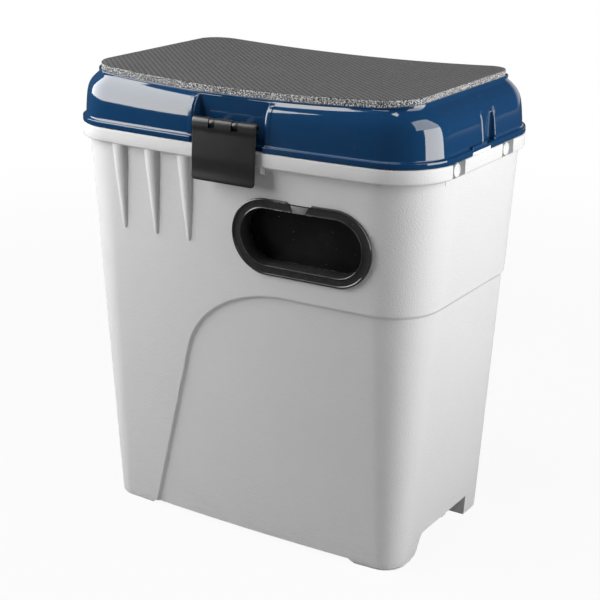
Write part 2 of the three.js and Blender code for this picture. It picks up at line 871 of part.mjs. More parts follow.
function makePad() {
  const plan = (inset) => ({
    length: padLength - 2 * inset,
    depth: padDepth - 2 * inset,
    radius: padRadius - inset,
    bow: padBow,
  });
  const bottom = seatHeight + seatGap;
  const top = bottom + padThickness;
  return solidFrom(loft([
    ring(plan(0), bottom, 1),
    ring(plan(0), top - padEdge, 1),
    ring(plan(padEdge / 2), top - padEdge / 4, 1),
    ring(plan(padEdge * 2), top, 1),
  ]));
}

// The latch, drawn about its own axis with its plate hanging straight down.
function makeLatch() {
  const inner = latchThickness - latchBarrelRadius;
  const half = latchWidth / 2;
  const plateShape = new THREE.Shape();
  plateShape.moveTo(-half, 0);
  plateShape.lineTo(-half, -latchLength + latchCorner);
  plateShape.absarc(-half + latchCorner, -latchLength + latchCorner, latchCorner, Math.PI, 1.5 * Math.PI);
  plateShape.absarc(half - latchCorner, -latchLength + latchCorner, latchCorner, 1.5 * Math.PI, 2 * Math.PI);
  plateShape.lineTo(half, 0);
  plateShape.closePath();
  const plate = prism(plateShape, 'y', -latchBarrelRadius, inner);
  const barrel = bar('x', latchBarrelRadius, 0, 0, -half, half);
  const hookTop = bodyHeight - latchHookGap - latchAxisZ;
  const hookTip = inner + latchClearance + latchHookReach;
  const hookShape = polygon([
    [inner - mergeDepth, hookTop],
    [inner - mergeDepth, hookTop - latchHookDepth - mergeDepth],
    [inner, hookTop - latchHookDepth],
    [hookTip, hookTop - latchHookReach],
    [hookTip, hookTop],
  ]);
  let latch = plate.add(barrel).add(prism(hookShape, 'x', -latchHookWidth / 2, latchHookWidth / 2));
  for (const side of [-1, 1]) {
    const from = side * latchLugPlace - latchLugWidth / 2 - latchSlotGap;
    const to = side * latchLugPlace + latchLugWidth / 2 + latchSlotGap;
    const out = latchBarrelRadius + cutOverrun;
    latch = latch.subtract(block(from, to, -out, out, -latchBarrelRadius - latchSlotGap, out));
  }
  const bore = bar('x', latchPinRadius + pinGap, 0, 0, -half - cutOverrun, half + cutOverrun);
  return latch.subtract(bore);
}

// The hatch, drawn in its own frame.
function screwHole(x, z, from, to) {
  return bar('y', screwRadius + screwGap, x, z, from, to, screwSteps);
}

function makeHatchFrame() {
  const outerLength = hatchLength + 2 * hatchBezel;
  const outerWidth = hatchWidth + 2 * hatchBezel;
  const conform = bodyLoft(-seatGap, panelTop, bodyHeight, toHatch);
  let frame = slotPrism(outerLength, outerWidth, hatchBevel - hatchProud, wall)
    .add(slotPrism(outerLength - 2 * hatchBevel, outerWidth - 2 * hatchBevel, -hatchProud, wall))
    .subtract(conform)
    .add(slotPrism(hatchTunnelLength, hatchTunnelWidth, 0, hatchTunnelDepth));
  const scoop = prism(polygon([
    [-scoopWidth / 2, hatchWidth / 2 + hatchBezel + cutOverrun],
    [-scoopWidth / 2, hatchWidth / 2 + hatchBezel],
    [-scoopFloor / 2, hatchWidth / 2 + hatchBezel - scoopDepth],
    [scoopFloor / 2, hatchWidth / 2 + hatchBezel - scoopDepth],
    [scoopWidth / 2, hatchWidth / 2 + hatchBezel],
    [scoopWidth / 2, hatchWidth / 2 + hatchBezel + cutOverrun],
  ]), 'y', -hatchProud - cutOverrun, wall);
  const scoopSlope = prism(polygon([
    [-hatchProud - cutOverrun, hatchWidth / 2 - cutOverrun],
    [-seatGap, hatchWidth / 2 - cutOverrun],
    [-seatGap, hatchWidth / 2],
    [seatGap - hatchProud, hatchWidth / 2 + hatchBezel - scoopDepth],
    [-hatchProud - cutOverrun, hatchWidth / 2 + hatchBezel - scoopDepth],
  ]), 'x', -scoopFloor / 2, scoopFloor / 2);
  frame = frame.subtract(scoop).subtract(scoopSlope);
  frame = frame.subtract(slotPrism(hatchLength, hatchWidth, -hatchProud - cutOverrun, hatchTunnelDepth + cutOverrun));
  for (const side of [-1, 1]) {
    frame = frame.add(flapEar(side));
  }
  for (const [x, z] of screwSpots) {
    frame = frame.subtract(screwHole(x, z, -hatchProud + screwBite / 2, wall + cutOverrun));
  }
  return frame;
}

const flapAxisY = hatchTunnelDepth + seatGap + flapThickness / 2;
const flapAxisZ = hatchTunnelWidth / 2 + flapAxisRise;

// An ear on top of the tunnel, outside the flap's knuckle.
function flapEar(side) {
  const from = flapKnucklePlace + flapKnuckleWidth / 2 + pinGap;
  const to = from + hatchTunnelWall * 2;
  const shape = polygon([
    [wall + ringThickness + seatGap * 4, hatchTunnelWidth / 2 - hatchTunnelWall / 2],
    [hatchTunnelDepth, hatchTunnelWidth / 2 - hatchTunnelWall / 2],
    [hatchTunnelDepth, hatchTunnelWidth / 2 + seatGap],
    [flapAxisY, flapAxisZ],
    [flapAxisY, flapAxisZ + flapKnuckleRadius],
    [flapAxisY - flapKnuckleRadius, flapAxisZ + flapKnuckleRadius],
  ]);
  const low = side > 0 ? from : -to;
  const high = side > 0 ? to : -from;
  return prism(shape, 'x', low, high)
    .add(bar('x', flapKnuckleRadius, flapAxisY, flapAxisZ, low, high))
    .subtract(bar('x', flapPinRadius + pinGap, flapAxisY, flapAxisZ, low - cutOverrun, high + cutOverrun));
}

function makeHatchRing() {
  const inside = bodyLoft(wall + seatGap, panelTop, bodyHeight, toHatch);
  const margin = ringMargin * 2;
  const hole = 2 * hatchHoleGap;
  let clamp = slotPrism(hatchTunnelLength + margin, hatchTunnelWidth + margin, 0, wall + ringThickness)
    .intersect(inside)
    .subtract(slotPrism(hatchTunnelLength + hole, hatchTunnelWidth + hole, -cutOverrun, wall + ringThickness + cutOverrun));
  for (const [x, z] of screwSpots) {
    clamp = clamp.subtract(screwHole(x, z, -cutOverrun, wall + ringThickness + cutOverrun));
  }
  return clamp;
}

function makeFlap() {
  const front = hatchTunnelDepth + seatGap;
  const back = front + flapThickness;
  let flap = slotPrism(hatchTunnelLength, hatchTunnelWidth, front, back);
  const rimRing = slotPrism(hatchTunnelLength, hatchTunnelWidth, back - mergeDepth, back + flapLip)
    .subtract(slotPrism(hatchTunnelLength - 2 * flapRim, hatchTunnelWidth - 2 * flapRim,
      back - 2 * mergeDepth, back + flapLip + cutOverrun));
  flap = flap.add(rimRing);
  for (const side of [-1, 1]) {
    const middle = side * flapKnucklePlace;
    const from = middle - flapKnuckleWidth / 2;
    const to = middle + flapKnuckleWidth / 2;
    const root = polygon([
      [front, hatchTunnelWidth / 2 - hatchTunnelWall],
      [back, hatchTunnelWidth / 2 - hatchTunnelWall],
      [flapAxisY + flapKnuckleRadius, flapAxisZ],
      [flapAxisY, flapAxisZ],
    ]);
    flap = flap.add(prism(root, 'x', from, to))
      .add(bar('x', flapKnuckleRadius, flapAxisY, flapAxisZ, from, to));
    flap = flap.subtract(bar('x', flapPinRadius + pinGap, flapAxisY, flapAxisZ, from - mergeDepth, to + mergeDepth));
  }
  return flap;
}

function makeScrew(x, z) {
  const seat = wall + ringThickness;
  const tip = -hatchProud + screwBite;
  return bar('y', screwRadius, x, z, tip, seat + seatGap + mergeDepth / 2, screwSteps)
    .add(bar('y', screwHeadRadius, x, z, seat + seatGap, seat + seatGap + screwHeadHeight, screwSteps));
}

// A strap stud: a disc on a neck, with a peg into the rim.
function makeStud(side, y) {
  const faceX = notchFace + seatGap;
  const profile = [
    [0, -studPegLength],
    [studPegRadius, -studPegLength],
    [studPegRadius, 0],
    [studNeckRadius, 0],
    [studNeckRadius, studNeckLength],
    [studDiscRadius, studNeckLength],
    [studDiscRadius, studNeckLength + studDiscThickness - studEdge],
    [studDiscRadius - studEdge, studNeckLength + studDiscThickness],
    [0, studNeckLength + studDiscThickness],
  ].map(([radius, height]) => new THREE.Vector2(radius, height));
  const lathe = new THREE.LatheGeometry(profile, circleSteps);
  lathe.rotateZ(-Math.PI / 2);
  lathe.translate(faceX, y, studHeight);
  const stud = solidFrom(lathe);
  return side > 0 ? stud : mirrorX(stud);
}

// The tray, straight along its front and back, and small enough to lift inside the lid's recesses.
function trayPlan(z, inset) {
  return { ...bodyPlan(z, wall + trayClearance + inset), bow: 0 };
}

function trayLoft(inset, from, to) {
  return solidFrom(loft([ring(trayPlan(from, inset), from), ring(trayPlan(to, inset), to)]));
}

const trayBottom = trayTop - trayHeight;
const trayFloorTop = trayBottom + trayFloor;

function makeTray() {
  const outer = trayLoft(0, trayBottom, trayTop);
  const hollow = trayLoft(trayWall, trayFloorTop, trayTop + cutOverrun);
  const half = rimLength / 2;
  const longWall = block(
    -half, half,
    trayLongWall - trayWall / 2, trayLongWall + trayWall / 2,
    trayBottom, trayTop - dividerDrop,
  );
  const crossWall = block(
    trayCrossWall - trayWall / 2, trayCrossWall + trayWall / 2,
    trayLongWall, rimDepth / 2 + rimBow,
    trayBottom, trayTop - dividerDrop,
  );
  let tray = outer.subtract(hollow).add(longWall.add(crossWall).intersect(outer));
  for (let number = 0; number < dividerCount; number += 1) {
    const x = dividerX(number);
    for (const side of [-1, 1]) {
      const near = x + side * (dividerThickness / 2 + seatGap);
      const far = near + side * railWidth;
      const rail = block(
        Math.min(near, far), Math.max(near, far),
        -rimDepth, trayLongWall,
        trayBottom + trayFloor / 2, trayFloorTop + railHeight,
      );
      tray = tray.add(rail.intersect(outer));
    }
  }
  const grip = bar('x', trayGripRadius, -rimDepth / 4, trayTop + trayGripDrop, -rimLength, rimLength);
  return tray.subtract(grip);
}

function dividerX(number) {
  return (number - (dividerCount - 1) / 2) * dividerPitch;
}

function makeDivider(number) {
  const x = dividerX(number);
  const plate = block(
    x - dividerThickness / 2, x + dividerThickness / 2,
    -rimDepth, trayLongWall - trayWall / 2 - seatGap,
    trayFloorTop + seatGap, trayTop - dividerDrop,
  );
  return plate.intersect(trayLoft(trayWall + seatGap, trayBottom, trayTop));
}

addNode('tub', makeTub(), materials.tub);
addNode('lid', makeLid(), materials.lid);
addNode('seat_pad', makePad(), materials.pad);

const latchGroup = new THREE.Group();
latchGroup.position.set(0, latchAxisY, latchAxisZ);
latchGroup.rotation.x = -THREE.MathUtils.degToRad(latchRestDegrees);
box.add(latchGroup);
addNode('latch', makeLatch(), materials.latch, latchGroup);
const latchPinHalf = latchWidth / 2 - latchPinInset;
addNode('latch_pin', bar('x', latchPinRadius, 0, 0, -latchPinHalf, latchPinHalf), materials.steel, latchGroup);

for (const [label, side] of [['left', -1], ['right', 1]]) {
  const middle = side * hingePlace;
  const half = hingeWidth / 2;
  const pin = bar('x', hingePinRadius, hingeAxisY, hingeAxisZ, middle - half, middle + half);
  addNode(`hinge_pin_${label}`, pin, materials.steel);
  for (const [end, place] of [['front', studShift - studPlace], ['rear', studShift + studPlace]]) {
    addNode(`strap_stud_${label}_${end}`, makeStud(side, place), materials.tub);
  }
}

box.add(hatchFrame);
addNode('hatch_frame', makeHatchFrame(), materials.hatch, hatchFrame);
addNode('hatch_ring', makeHatchRing(), materials.hatch, hatchFrame);
addNode('hatch_flap', makeFlap(), materials.hatch, hatchFrame);
const flapPinHalf = flapKnucklePlace + flapKnuckleWidth / 2 + hatchTunnelWall * 2;
const flapPin = bar('x', flapPinRadius, flapAxisY, flapAxisZ, -flapPinHalf, flapPinHalf);
addNode('hatch_pin', flapPin, materials.steel, hatchFrame);
screwSpots.forEach(([x, z], number) => {
  addNode(`hatch_screw_${number + 1}`, makeScrew(x, z), materials.steel, hatchFrame);
});

addNode('tray', makeTray(), materials.tray);
for (let number = 0; number < dividerCount; number += 1) {
  addNode(`tray_divider_${number + 1}`, makeDivider(number), materials.tray);
}

// Stand the box with its origin under the middle of its depth.
const bounds = new THREE.Box3().setFromObject(box, true);
box.position.y = -(bounds.min.y + bounds.max.y) / 2;

export default box;
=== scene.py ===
# Fishing seat box: fine surfaces, finishes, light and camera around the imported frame.
import math
from contextlib import contextmanager
import bmesh
import bpy
import numpy as np
from mathutils import Matrix, Vector


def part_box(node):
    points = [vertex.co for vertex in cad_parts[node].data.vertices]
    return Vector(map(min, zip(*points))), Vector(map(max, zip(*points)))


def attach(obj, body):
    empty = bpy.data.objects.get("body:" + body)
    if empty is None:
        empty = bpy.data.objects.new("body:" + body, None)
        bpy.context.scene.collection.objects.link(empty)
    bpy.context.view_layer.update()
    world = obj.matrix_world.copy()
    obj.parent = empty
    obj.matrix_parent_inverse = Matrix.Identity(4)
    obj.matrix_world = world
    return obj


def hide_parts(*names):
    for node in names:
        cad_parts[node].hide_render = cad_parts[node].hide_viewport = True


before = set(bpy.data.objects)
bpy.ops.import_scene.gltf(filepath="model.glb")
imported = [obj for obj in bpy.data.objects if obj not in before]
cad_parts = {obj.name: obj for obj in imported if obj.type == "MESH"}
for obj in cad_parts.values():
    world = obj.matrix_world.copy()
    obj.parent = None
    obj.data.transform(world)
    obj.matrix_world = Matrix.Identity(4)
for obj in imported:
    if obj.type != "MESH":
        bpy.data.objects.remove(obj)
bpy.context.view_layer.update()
scene = bpy.context.scene
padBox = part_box("seat_pad")
shiftY = (padBox[0].y + padBox[1].y) / 2  # where the box's own middle line lies in the frame
mm = 0.001
print("frame loaded")

# Sizes that several pieces share, in millimetres and in the box's own frame
rim = {"length": 370, "depth": 222, "radius": 48, "bow": 7.5, "height": 12.5}
tubHeight = 367.5
wall = 3
seatGap = 0.3
over = 6  # how far a cut runs past what it cuts
sink = 1  # how far a part reaches into the one that it joins
softEdge, fineEdge = 0.4, 0.3  # roundings of moulded edges
sharpBend = 0.5  # radians, past which an edge is rounded
pinGap = 0.3
aside = -20  # marks points that a field leaves out
bodyHeight = tubHeight - rim["height"]
halfRim = rim["length"] / 2
body = {
    "foot": {"length": 313, "depth": 178, "radius": 21, "bow": 5},
    "top": {"length": 365, "depth": 214, "radius": 52, "bow": 5},
}
rimFront = -(rim["depth"] / 2 + rim["bow"])
flangeBottom = tubHeight + seatGap
lidRise = 46
seatHeight = flangeBottom + lidRise
saddleDip = 6
hinge = {
    "place": 95, "width": 42, "earWidth": 7, "knuckle": 4.5, "bore": 2.3,
    "y": -rimFront + 5, "z": tubHeight + seatGap / 2, "root": 9,
}


# Working shapes: everything is drawn in millimetres and put into the frame at the end

def newObject(name, data):
    obj = bpy.data.objects.new(name, data)
    scene.collection.objects.link(obj)
    return obj


def shapeFrom(name, points, faces):
    mesh = bpy.data.meshes.new(name)
    mesh.from_pydata([tuple(float(c) for c in p) for p in points], [], [tuple(f) for f in faces])
    return newObject(name, mesh)


def skin(name, loops):
    # a closed skin over loops of one length, with a flat cap on each end
    count = len(loops[0])
    faces = [range(count)[::-1], range((len(loops) - 1) * count, len(loops) * count)]
    for level in range(len(loops) - 1):
        for i in range(count):
            a, b = level * count + i, level * count + (i + 1) % count
            faces.append((a, b, b + count, a + count))
    return shapeFrom(name, [p for loop in loops for p in loop], faces)


@contextmanager
def meshOf(obj):
    # the object's mesh while it is edited, written back at the end
    bm = bmesh.new()
    bm.from_mesh(obj.data)
    yield bm
    bm.to_mesh(obj.data)
    bm.free()


def bakeModifiers(obj):
    graph = bpy.context.evaluated_depsgraph_get()
    mesh = bpy.data.meshes.new_from_object(obj.evaluated_get(graph))
    old = obj.data
    obj.modifiers.clear()
    obj.data = mesh
    bpy.data.meshes.remove(old)


def combine(obj, others, operation):
    for other in others:
        step = obj.modifiers.new("join", "BOOLEAN")
        step.operation = operation
        step.solver = "MANIFOLD"
        step.object = other
    bakeModifiers(obj)
    for other in others:
        bpy.data.objects.remove(other)
    return obj


def cut(obj, *others):
    return combine(obj, others, "DIFFERENCE")


def join(obj, *others):
    return combine(obj, others, "UNION")


def prism(outline, axis, low, high, bevel=0):
    # an outline in (y, z), (x, z) or (x, y), drawn out along the axis that it leaves free
    at = "xyz".index(axis)
    obj = skin("prism", [[(*p[:at], level, *p[at:]) for p in outline] for level in (low, high)])
    with meshOf(obj) as bm:
        bmesh.ops.recalc_face_normals(bm, faces=bm.faces)
        if bevel:
            sharp = [e for e in bm.edges if e.calc_face_angle(0) > sharpBend]
            bmesh.ops.bevel(bm, geom=sharp, offset=bevel, segments=3, profile=0.5, affect="EDGES")
    return obj


def block(x0, x1, y0, y1, z0, z1, bevel=0):
    return prism([(x0, y0), (x1, y0), (x1, y1), (x0, y1)], "z", z0, z1, bevel)


def rod(axis, radius, u, v, low, high, steps=48, bevel=0):
    angles = [2 * math.pi * i / steps for i in range(steps)]
    outline = [(u + radius * math.cos(a), v + radius * math.sin(a)) for a in angles]
    return prism(outline, axis, low, high, bevel)


def stretch(side, near, far):
    # between two distances from the middle, on the left (-1) or on the right (1)
    return sorted((side * near, side * far))


def eye(outline, low, high, radius, bore, u, v, bevel):
    # a lug along X that ends round about a pin, with the pin's hole in it
    lug = join(prism(outline, "x", low, high, bevel), rod("x", radius, u, v, low, high, bevel=bevel))
    return cut(lug, rod("x", bore, u, v, low - over, high + over))


def bezier(start, lead, follow, end, steps=20):
    points = []
    for i in range(1, steps + 1):
        t = i / steps
        s = 1 - t
        weights = (s ** 3, 3 * s * s * t, 3 * s * t * t, t ** 3)
        points.append(tuple(
            sum(w * p[k] for w, p in zip(weights, (start, lead, follow, end))) for k in (0, 1)
        ))
    return points


def arc(cu, cv, radius, first, last, steps=6):
    angles = [math.radians(first + (last - first) * i / steps) for i in range(steps + 1)]
    return [(cu + radius * math.cos(a), cv + radius * math.sin(a)) for a in angles]


# A plan: a rectangle with round corners whose front and back are bowed. It starts at the left end
# of the front and runs anticlockwise.
def planOutline(plan, counts):
    along, across, corner = counts
    length, depth, radius = plan["length"], plan["depth"], plan["radius"]
    arcs = []
    for sideX, sideY, quarter in ((-1, -1, 2), (1, -1, 3), (1, 1, 0), (-1, 1, 1)):
        angle = (quarter + np.linspace(0, 1, corner + 1)) * math.pi / 2
        arcs.append(np.stack([
            sideX * (length / 2 - radius) + radius * np.cos(angle),
            sideY * (depth / 2 - radius) + radius * np.sin(angle),
        ], 1))
    runs = []
    for i, steps in enumerate((along, across, along, across)):
        runs.append(arcs[i])
        share = np.linspace(0, 1, steps + 1)[1:-1, None]
        runs.append(arcs[i][-1] * (1 - share) + arcs[(i + 1) % 4][0] * share)
    points = np.concatenate(runs)
    points[:, 1] *= 1 + (2 * plan["bow"] / depth) * (1 - (2 * points[:, 0] / length) ** 2)
    return points


def saddleAt(x, length):
    return saddleDip * np.maximum(0, 1 - (2 * x / length) ** 2)


padLength = 325


def ring(plan, z, counts, dip=0):
    flat = planOutline(plan, counts)
    return np.column_stack([flat, z - dip * saddleAt(flat[:, 0], padLength)])


# A closed skin over rings, listed from the bottom up, with a grid over each end
def loft(name, rings, counts):
    along, across, corner = counts
    count = len(rings[0])
    front = 2 * (corner + 1) + along - 1
    points = [p for r in rings for p in r]
    faces = []
    for level in range(len(rings) - 1):
        for i in range(count):
            a = level * count + i
            b = level * count + (i + 1) % count
            faces.append((a, b, b + count, a + count))
    for base, flip in ((0, True), ((len(rings) - 1) * count, False)):
        grid = np.zeros((front, across + 1), int)
        for i in range(front):
            grid[i, 0] = base + i
            grid[i, across] = base + 2 * front + across - 2 - i
        for j in range(1, across):
            grid[0, j] = base + 2 * front + 2 * (across - 1) - j
            grid[front - 1, j] = base + front + j - 1
        for i in range(1, front - 1):
            low, high = points[grid[i, 0]], points[grid[i, across]]
            for j in range(1, across):
                grid[i, j] = len(points)
                points.append(low + (high - low) * (j / across))
        for i in range(front - 1):
            for j in range(across):
                face = (grid[i, j], grid[i + 1, j], grid[i + 1, j + 1], grid[i, j + 1])
                faces.append(face[::-1] if flip else face)
    return shapeFrom(name, points, faces)


def shrunk(plan, inset):
    return {
        "length": plan["length"] - 2 * inset, "depth": plan["depth"] - 2 * inset,
        "radius": plan["radius"] - inset, "bow": plan["bow"],
    }


def bodyPlan(z, inset=0):
    share = z / bodyHeight
    foot, top = body["foot"], body["top"]
    return shrunk({k: foot[k] + (top[k] - foot[k]) * share for k in foot}, inset)


def rimPlan(inset=0):
    return shrunk(rim, inset)


def reach(plan, x):
    return plan["depth"] / 2 + plan["bow"] * (1 - (2 * x / plan["length"]) ** 2)


# Cut a mesh along lines where a field has given values, so that a step can follow them
def cutAlong(bm, layer, levels, snap=0.12):
    for level in levels:
        for edge in bm.edges:
            a, b = edge.verts
            fa, fb = a[layer] - level, b[layer] - level
            if fa * fb < 0:
                share = fa / (fa - fb)
                if share < snap:
                    a[layer] = level
                elif share > 1 - snap:
                    b[layer] = level
        for edge in list(bm.edges):
            a, b = edge.verts
            fa, fb = a[layer] - level, b[layer] - level
            if fa * fb < 0:
                _, vert = bmesh.utils.edge_split(edge, a, fa / (fa - fb))
                vert[layer] = level
        for face in list(bm.faces):
            marked = [v for v in face.verts if v[layer] == level]
            if len(marked) == 2 and marked[1] not in [e.other_vert(marked[0]) for e in marked[0].link_edges]:
                bmesh.utils.face_split(face, *marked)


def smooth(low, high, value):
    t = min(1, max(0, (value - low) / (high - low)))
    return t * t * (3 - 2 * t)


def polygonDistance(points, outline):
    # signed distance in a plane, positive inside the outline
    ends = np.array(outline, float)
    starts = np.roll(ends, 1, 0)
    best = np.full(len(points), 1e9)
    inside = np.zeros(len(points), bool)
    for a, b in zip(starts, ends):
        run = b - a
        share = np.clip(((points - a) @ run) / max(run @ run, 1e-9), 0, 1)
        best = np.minimum(best, np.hypot(*(points - a - share[:, None] * run).T))
        crosses = (a[1] > points[:, 1]) != (b[1] > points[:, 1])
        with np.errstate(divide="ignore", invalid="ignore"):
            x = a[0] + (points[:, 1] - a[1]) / (b[1] - a[1]) * run[0]
        inside ^= crosses & (points[:, 0] < x)
    return np.where(inside, best, -best)


# The tub
tubSizes = {
    "counts": (56, 30, 14), "rowPitch": 5.0, "footEdge": 2.0, "rimEdge": 1.7, "rimTopEdge": 0.7,
    "panelDepth": 2.0, "panelTop": 240, "panelFoot": -104, "panelBend": -53, "panelBendHeight": 176,
    "panelLevel": 52, "panelLead": 38, "stepHalf": 1.5,
    "buttressFirst": -119.2, "buttressPitch": 36.1, "buttressCount": 3, "buttressHalf": 8,
    "buttressTip": 1.5, "buttressDrop": 78, "buttressOut": 5, "buttressTipOut": 1.1,
    "buttressNose": 0.03, "buttressFlare": 0.85, "buttressSpread": 1.6, "buttressLeast": 0.15,
    "channelFront": -36, "channelBack": 49, "channelHeight": 20, "channelLead": 22,
    "ribPlace": 9.5, "ribWidth": 8, "ribHeight": 5,
    "liftHeight": 3.5, "liftLeft": -104, "liftRight": 109, "liftRamp": 5,
    "notchWidth": 22, "notchDepth": 6, "notchBacking": 4, "notchBackingDrop": 17,
    "guardAt": 31.2, "guardThickness": 3.6, "guardDrop": 5.5, "guardFlare": 1.0, "guardSlope": 2,
    "guardBack": 0.3, "guardEdge": 0.7, "tongueGap": 0.6,
    "trayTop": 359, "trayHeight": 28,
    "ledgeReach": 16, "ledgeWidth": 100, "ledgeThickness": 3, "ledgeEdge": 0.5,
}
studPlaces = (-55.5, 37.7)
cutBack = {"front": -31, "back": 5, "height": 3.2, "depth": 7}


def panelOutline():
    s = tubSizes
    run, rise = s["panelBend"] - s["panelFoot"], s["panelBendHeight"] + over
    lead = s["panelLead"] / math.hypot(run, rise)
    start = (s["panelLevel"], s["panelTop"])
    end = (s["panelBend"], s["panelBendHeight"])
    curve = bezier(
        start, ((s["panelLevel"] + s["panelBend"]) / 2, s["panelTop"]),
        (end[0] + lead * run, end[1] + lead * rise), end,
    )
    far = halfRim + over * 4
    return [(s["panelFoot"], -over), (far, -over), (far, s["panelTop"]), start] + curve


def buttress(x):
    # a half cone that stands out of the wall under the rim and runs down to a point
    s = tubSizes
    steps, levels = 40, 16
    loops = []
    for k in range(levels + 1):
        up = (k / levels) ** s["buttressSpread"]
        z = bodyHeight - s["buttressDrop"] + up * (s["buttressDrop"] + sink)
        fade = math.sqrt(1 - max(0, 1 - up / s["buttressNose"]) ** 2)
        flare = up ** s["buttressFlare"]
        tip, tipOut = s["buttressTip"], s["buttressTipOut"]
        half = max(s["buttressLeast"], fade * (tip + (s["buttressHalf"] - tip) * flare))
        out = max(s["buttressLeast"], fade * (tipOut + (s["buttressOut"] - tipOut) * flare))
        wallY = -reach(bodyPlan(z), x)
        loop = []
        for i in range(steps):
            angle = 2 * math.pi * i / steps
            depth = math.sin(angle) * (out if math.sin(angle) < 0 else wall / 2)
            loop.append((x + half * math.cos(angle), wallY + depth, z))
        loops.append(loop)
    return skin("buttress", loops)


def channelPrism(margin):
    s = tubSizes
    front, back, top = s["channelFront"] - margin, s["channelBack"] + margin, s["channelHeight"] + margin
    lead = s["channelLead"]
    outline = [(front - lead, -over), (front - lead, 0)]
    outline += bezier((front - lead, 0), (front - lead / 4, 0), (front - lead / 2, top), (front, top))
    outline += [(back, top), (back, -over)]
    return prism(outline, "x", -rim["length"], rim["length"])


def pressPanel(tub):
    # the wall inside the arched outline lies deeper, behind a smooth step
    half = tubSizes["stepHalf"]
    with meshOf(tub) as bm:
        arch = bm.verts.layers.float.new("arch")
        places = np.array([v.co[:] for v in bm.verts])
        field = polygonDistance(places[:, [0, 2]], panelOutline())
        for vert, value in zip(bm.verts, field):
            vert[arch] = np.clip(value, aside, -aside) if vert.co.z < bodyHeight + 0.01 else aside
        cutAlong(bm, arch, [k * half for k in (-1.5, -1, -0.5, 0, 0.5, 1, 1.5)])
        bm.normal_update()
        moves = []
        for vert in bm.verts:
            out = Vector((vert.normal.x, vert.normal.y, 0))
            if vert.co.z < bodyHeight + 0.01 and out.length > 0.2:
                inwards = -tubSizes["panelDepth"] * smooth(-half, half, vert[arch])
                moves.append((vert, out.normalized() * inwards))
        for vert, move in moves:
            vert.co += move
        bmesh.ops.triangulate(bm, faces=[f for f in bm.faces if len(f.verts) > 4])


def makeTub():
    s = tubSizes
    counts = s["counts"]
    edge, rimEdge, topEdge = s["footEdge"], s["rimEdge"], s["rimTopEdge"]
    rows = round((bodyHeight - edge) / s["rowPitch"])
    wallLine = [(-edge, 0)] + arc(-edge, edge, edge, -60, 0, 4)
    wallLine += [(0, edge + (bodyHeight - edge) * i / rows) for i in range(1, rows + 1)]
    rimLine = arc(-rimEdge, bodyHeight + rimEdge, rimEdge, -90, 0, 5)
    rimLine += arc(-topEdge, tubHeight - topEdge, topEdge, 0, 90, 4)
    rings = [ring(bodyPlan(z, -y), z, counts) for y, z in wallLine]
    rings += [ring(rimPlan(-y), z, counts) for y, z in rimLine]
    tub = loft("tubShell", rings, counts)
    pressPanel(tub)

    floorTop = s["liftHeight"] + wall
    inset = wall + s["panelDepth"]
    plain = (40, 20, 10)
    split = s["panelTop"] + wall
    lower = loft("lower", [ring(bodyPlan(z, inset), z, plain) for z in (floorTop, split + sink)], plain)
    upper = loft("upper", [ring(bodyPlan(z, wall), z, plain) for z in (split, tubHeight + over)], plain)
    cavity = cut(join(lower, upper), channelPrism(wall))
    cut(tub, cavity, channelPrism(0))
    left, right, ramp, rise = s["liftLeft"], s["liftRight"], s["liftRamp"], s["liftHeight"]
    lift = [
        (left - ramp, -over), (right + ramp, -over), (right + ramp, 0),
        (right, rise), (left, rise), (left - ramp, 0),
    ]
    cut(tub, prism(lift, "y", -rim["depth"], rim["depth"]))

    ribHalf = bodyPlan(s["channelHeight"], inset)["length"] / 2
    middle, ribWidth = s["ribPlace"], s["ribWidth"]
    extras = [block(
        -ribHalf, ribHalf, middle - ribWidth / 2, middle + ribWidth / 2,
        s["channelHeight"] - s["ribHeight"], s["channelHeight"] + sink, softEdge,
    )]
    extras += [buttress(s["buttressFirst"] + i * s["buttressPitch"]) for i in range(s["buttressCount"])]
    notches = []
    notchFace = halfRim - s["notchDepth"]
    gap = s["tongueGap"]
    for side in (-1, 1):
        span = stretch(side, s["guardAt"], s["guardAt"] + s["guardThickness"])
        wallY = -reach(bodyPlan(bodyHeight), span[0])
        low = bodyHeight - s["guardDrop"]
        guard = prism([
            (wallY + sink, bodyHeight + 2 * sink), (wallY + sink, low - s["guardSlope"]),
            (rimFront + sink, low + sink), (rimFront + s["guardBack"], bodyHeight + 2 * sink),
        ], "x", *span, s["guardEdge"])
        for vert in guard.data.vertices:
            share = min(1, max(0, (bodyHeight - vert.co.z) / s["guardDrop"]))
            vert.co.x += side * s["guardFlare"] * share ** 2
        extras.append(guard)
        extras.append(block(
            *stretch(side, halfRim - cutBack["depth"] + gap, halfRim - gap),
            cutBack["front"] + gap, cutBack["back"] - gap,
            tubHeight - sink, flangeBottom + cutBack["height"] - gap, softEdge,
        ))
        ledgeTop = s["trayTop"] - s["trayHeight"] - seatGap
        inner = bodyPlan(ledgeTop, wall)["length"] / 2
        tip = inner - s["ledgeReach"]
        root, ledgeFoot = side * (inner + sink), ledgeTop - s["ledgeThickness"]
        outline = [
            (root, ledgeTop), (root, ledgeFoot - s["ledgeReach"]),
            (side * tip, ledgeFoot), (side * tip, ledgeTop),
        ]
        extras.append(prism(outline, "y", -s["ledgeWidth"] / 2, s["ledgeWidth"] / 2, s["ledgeEdge"]))
        for y in studPlaces:
            halfNotch = s["notchWidth"] / 2
            extras.append(block(
                *stretch(side, notchFace - s["notchBacking"], notchFace + wall / 2),
                y - halfNotch - wall, y + halfNotch + wall, tubHeight - s["notchBackingDrop"], tubHeight,
            ))
            notches.append(block(
                *stretch(side, notchFace, halfRim + over),
                y - halfNotch, y + halfNotch, bodyHeight - 0.8, tubHeight + over,
            ))
        extras += hingeEars(side * hinge["place"])
    join(tub, *extras)
    cut(tub, *notches)
    cut(tub, hatchHole())
    return tub


